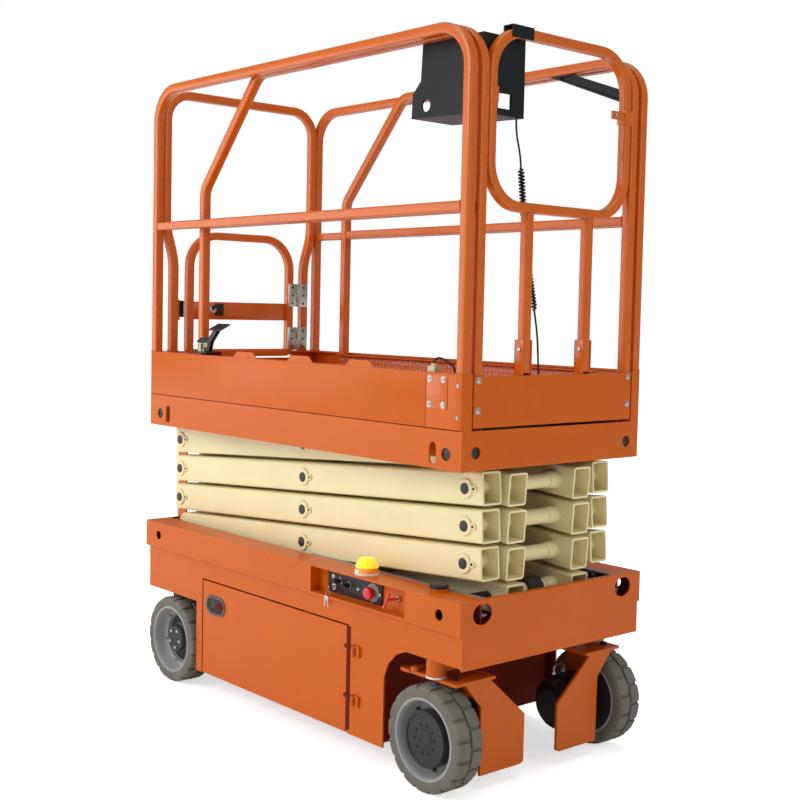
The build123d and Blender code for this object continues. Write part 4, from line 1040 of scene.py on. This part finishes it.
# Screws and cover plates of the platform's beams
piece = Piece()
for side in (-1, 1):
    piece.block(706, 796, side * BOARD_Y, side * 398, 1139, 1239, RAIL_ORANGE, soft=0.8)
    for x, z in ((721, 1226), (779, 1226), (721, 1152), (779, 1152)):
        piece.screw((x, side * 398, z), (0, side, 0), 6.2, 3.6, ZINC, "dome", washer=ZINC)
    for z in (1211, 1120):
        piece.screw((839, side * BOARD_Y, z), (0, side, 0), 7.0, 4.5, ZINC, "dome", washer=ZINC)
    # Fold between the upper board and the beam, shown by a cover plate with its own lower edge and a painted
    # shade line beneath it
    for x0, x1 in ((-869, 703), (799, 857)):
        piece.block(x0, x1, side * BOARD_Y, side * 397.6, 1083.5, 1243.5, ORANGE, soft=0.8)
    piece.block(-872, 858, side * 395.9, side * 396.3, 1080.5, 1083.7, SHADE_RED_BROWN, soft=0.1)
    for x in (-801, 794):
        piece.rod((x, side * 388.5, BEAM_HOLE_Z), (x, side * 392.5, BEAM_HOLE_Z), 18.8, PIN, sides=28)
    piece.rod((850.5, side * 338, 1017.5), (854.5, side * 338, 1017.5), 17.8, PIN, sides=28)
piece.done("platform_screw_plates", "platform", "body_orange")

piece = Piece()
for side in (-1, 1):
    piece.block(-638, 849, side * 343.6, side * 345.8, 1128, 1232, DIAMOND_WALL, soft=0.4)
    for z in (1226, 1139):
        piece.screw((859, side * 335, z), AHEAD, 7.0, 4.5, ZINC, "dome", washer=ZINC)
    # Sleeves on the legs of the front loop
    piece.block(825.5, 860.5, side * 300 - 17.5, side * 300 + 17.5, 2022, 2066, RAIL_ORANGE, soft=2)
piece.block(852, 858, 222, 284, 2032, 2058, RAIL_ORANGE, soft=1.5)
piece.screw((858, 240, 2045), AHEAD, 7, 5, ZINC, "hex")
piece.done("extension_fittings", "extension", "body_orange")

# Control cord: its route, and the coiled wire drawn along it
coil = [Vector((790, -112, 1858)), Vector((789, -84, 1640)), Vector((796, -42, 1427))]
top_way, end_way = (coil[1] - coil[0]).normalized(), (coil[2] - coil[1]).normalized()
route = [Vector((806, -154, 1992.6)), Vector((806, -154, 1956)), coil[0] - top_way * 38,
    coil[0] - top_way * 0.3, coil[0], coil[1], coil[2], coil[2] + end_way * 0.3, coil[2] + end_way * 72,
    Vector((800, -24, 1280)), Vector((806, -26, 1220)), Vector((820, -28, 1184)), Vector((850.7, -28, 1184))]


def nurbs_curve(name, points, depth, resolution):
    data = bpy.data.curves.new(name, "CURVE")
    data.dimensions = "3D"
    spline = data.splines.new("NURBS")
    spline.points.add(len(points) - 1)
    for point, p in zip(spline.points, points):
        point.co = (*(Vector(p) * MM + MIDDLE), 1)
    spline.order_u = 3
    spline.use_endpoint_u = True
    spline.resolution_u = resolution
    data.bevel_depth = depth * MM
    data.bevel_resolution = 3
    data.use_fill_caps = True
    return new_object(name, data)


guide = nurbs_curve("cord_guide", route, 0, 24)
bpy.context.view_layer.update()
line_mesh = bpy.data.meshes.new_from_object(guide)
line = [(v.co - MIDDLE) / MM for v in line_mesh.vertices]
bpy.data.meshes.remove(line_mesh)
bpy.data.objects.remove(guide)
far = [0.0]
for a, b in zip(line[:-1], line[1:]):
    far.append(far[-1] + (b - a).length)


def on_line(s):
    s = min(max(s, 0.0), far[-1])
    for k in range(len(far) - 1):
        if s <= far[k + 1]:
            t = (s - far[k]) / max(1e-9, far[k + 1] - far[k])
            return line[k].lerp(line[k + 1], t), (line[k + 1] - line[k]).normalized()
    return line[-1], (line[-1] - line[-2]).normalized()


coil_from = min(range(len(line)), key=lambda k: (line[k] - coil[0]).length)
coil_to = min(range(len(line)), key=lambda k: (line[k] - coil[2]).length)
s0, s1 = far[coil_from], far[coil_to]
turns = 44
wire = [on_line(s0 * k / 9)[0] for k in range(9)]
fixed = Vector(AHEAD)
steps = turns * 12
for k in range(steps + 1):
    t = k / steps
    p, way = on_line(s0 + (s1 - s0) * t)
    u = (fixed - way * fixed.dot(way)).normalized()
    v = way.cross(u)
    r = 7.9 * min(1.0, t * turns / 1.5, (1 - t) * turns / 1.5)
    a = 2 * pi * turns * t
    wire.append(p + (u * cos(a) + v * sin(a)) * r)
wire += [on_line(s1 + (far[-1] - s1) * k / 9)[0] for k in range(1, 10)]


def hang(name, points, resolution, body, replaced):
    # A rubber cord along the points
    cord = nurbs_curve(name, points, 3.0, resolution)
    cord.data.materials.append(RUBBER)
    attach(cord, body, replaced)


hang("control_cord", wire, 3, "extension", ["cord_upper_lead", "cord_coil", "cord_lower_lead"])

# Short cable from the gland on the right toe board
short = [Vector(p) for p in ((712, -372, 1270.3), (712, -372, 1283), (736, -372, 1288), (769, -372, 1276),
    (799, -372, 1262), (799, -372, 1245.3))]
hang("toe_board_cable", short, 12, "platform", ["toe_cable"])


# Stage
def stage():
    floor_mat = bpy.data.materials.new("pale_floor")
    floor_mat.use_nodes = True
    tree = floor_mat.node_tree
    shader = tree.nodes["Principled BSDF"]
    feed(tree, shader, {"Roughness": 0.9, "Specular IOR Level": 0.1, "Base Color": (0.93, 0.93, 0.93, 1)})
    # The camera sees the floor as a white sheet that still takes a soft shadow
    camera_ray = add(tree, "LightPath").outputs["Is Camera Ray"]
    dark, glow = [add(tree, "Emission", {"Strength": k}).outputs[0] for k in (0.0, 0.62)]
    seen = add(tree, "MixShader", {"Fac": camera_ray, 1: dark, 2: glow})
    both = add(tree, "AddShader", {0: shader.outputs[0], 1: seen.outputs[0]})
    feed(tree, tree.nodes["Material Output"], {"Surface": both.outputs[0]})
    bpy.ops.mesh.primitive_plane_add(size=60, location=(0, 0, -0.0005))
    floor = bpy.context.object
    floor.name = "floor"
    floor.data.materials.append(floor_mat)
    world = bpy.data.worlds.new("studio")
    bpy.context.scene.world = world
    world.use_nodes = True
    tree = world.node_tree
    # Light on the object, what shiny surfaces mirror, and what the camera sees
    feed(tree, tree.nodes["Background"], {"Color": (1, 1, 1, 1), "Strength": 0.46})
    gloss, seen = [add(tree, "Background", {"Color": (1, 1, 1, 1), "Strength": k}).outputs[0] for k in (0.25,
        1.0)]
    path = add(tree, "LightPath").outputs
    lit = tree.nodes["Background"].outputs[0]
    shiny = add(tree, "MixShader", {"Fac": path["Is Glossy Ray"], 1: lit, 2: gloss})
    mix = add(tree, "MixShader", {"Fac": path["Is Camera Ray"], 1: shiny.outputs[0], 2: seen})
    feed(tree, tree.nodes["World Output"], {"Surface": mix.outputs[0]})

    def lamp(name, at, aim, size, watts, color=(1, 1, 1)):
        data = bpy.data.lights.new(name, "AREA")
        data.shape = "RECTANGLE"
        data.size, data.size_y = size
        data.energy = watts
        data.color = color
        obj = new_object(name, data)
        obj.location = at
        obj.rotation_euler = (Vector(aim) - Vector(at)).to_track_quat("-Z", "Y").to_euler()

    lamp("key", (-1.5, -6.0, 4.2), (0, 0, 1.0), (4.0, 3.0), 200)
    lamp("card", (-5.5, -5.0, 1.8), (0, 0, 1.1), (4.5, 3.0), 80)
    lamp("front", (6.5, 1.2, 3.4), (0.3, 0, 1.0), (3.0, 3.0), 58)
    lamp("top", (0, 0, 20), (0, 0, 1), (15.0, 15.0), 1450)


stage()
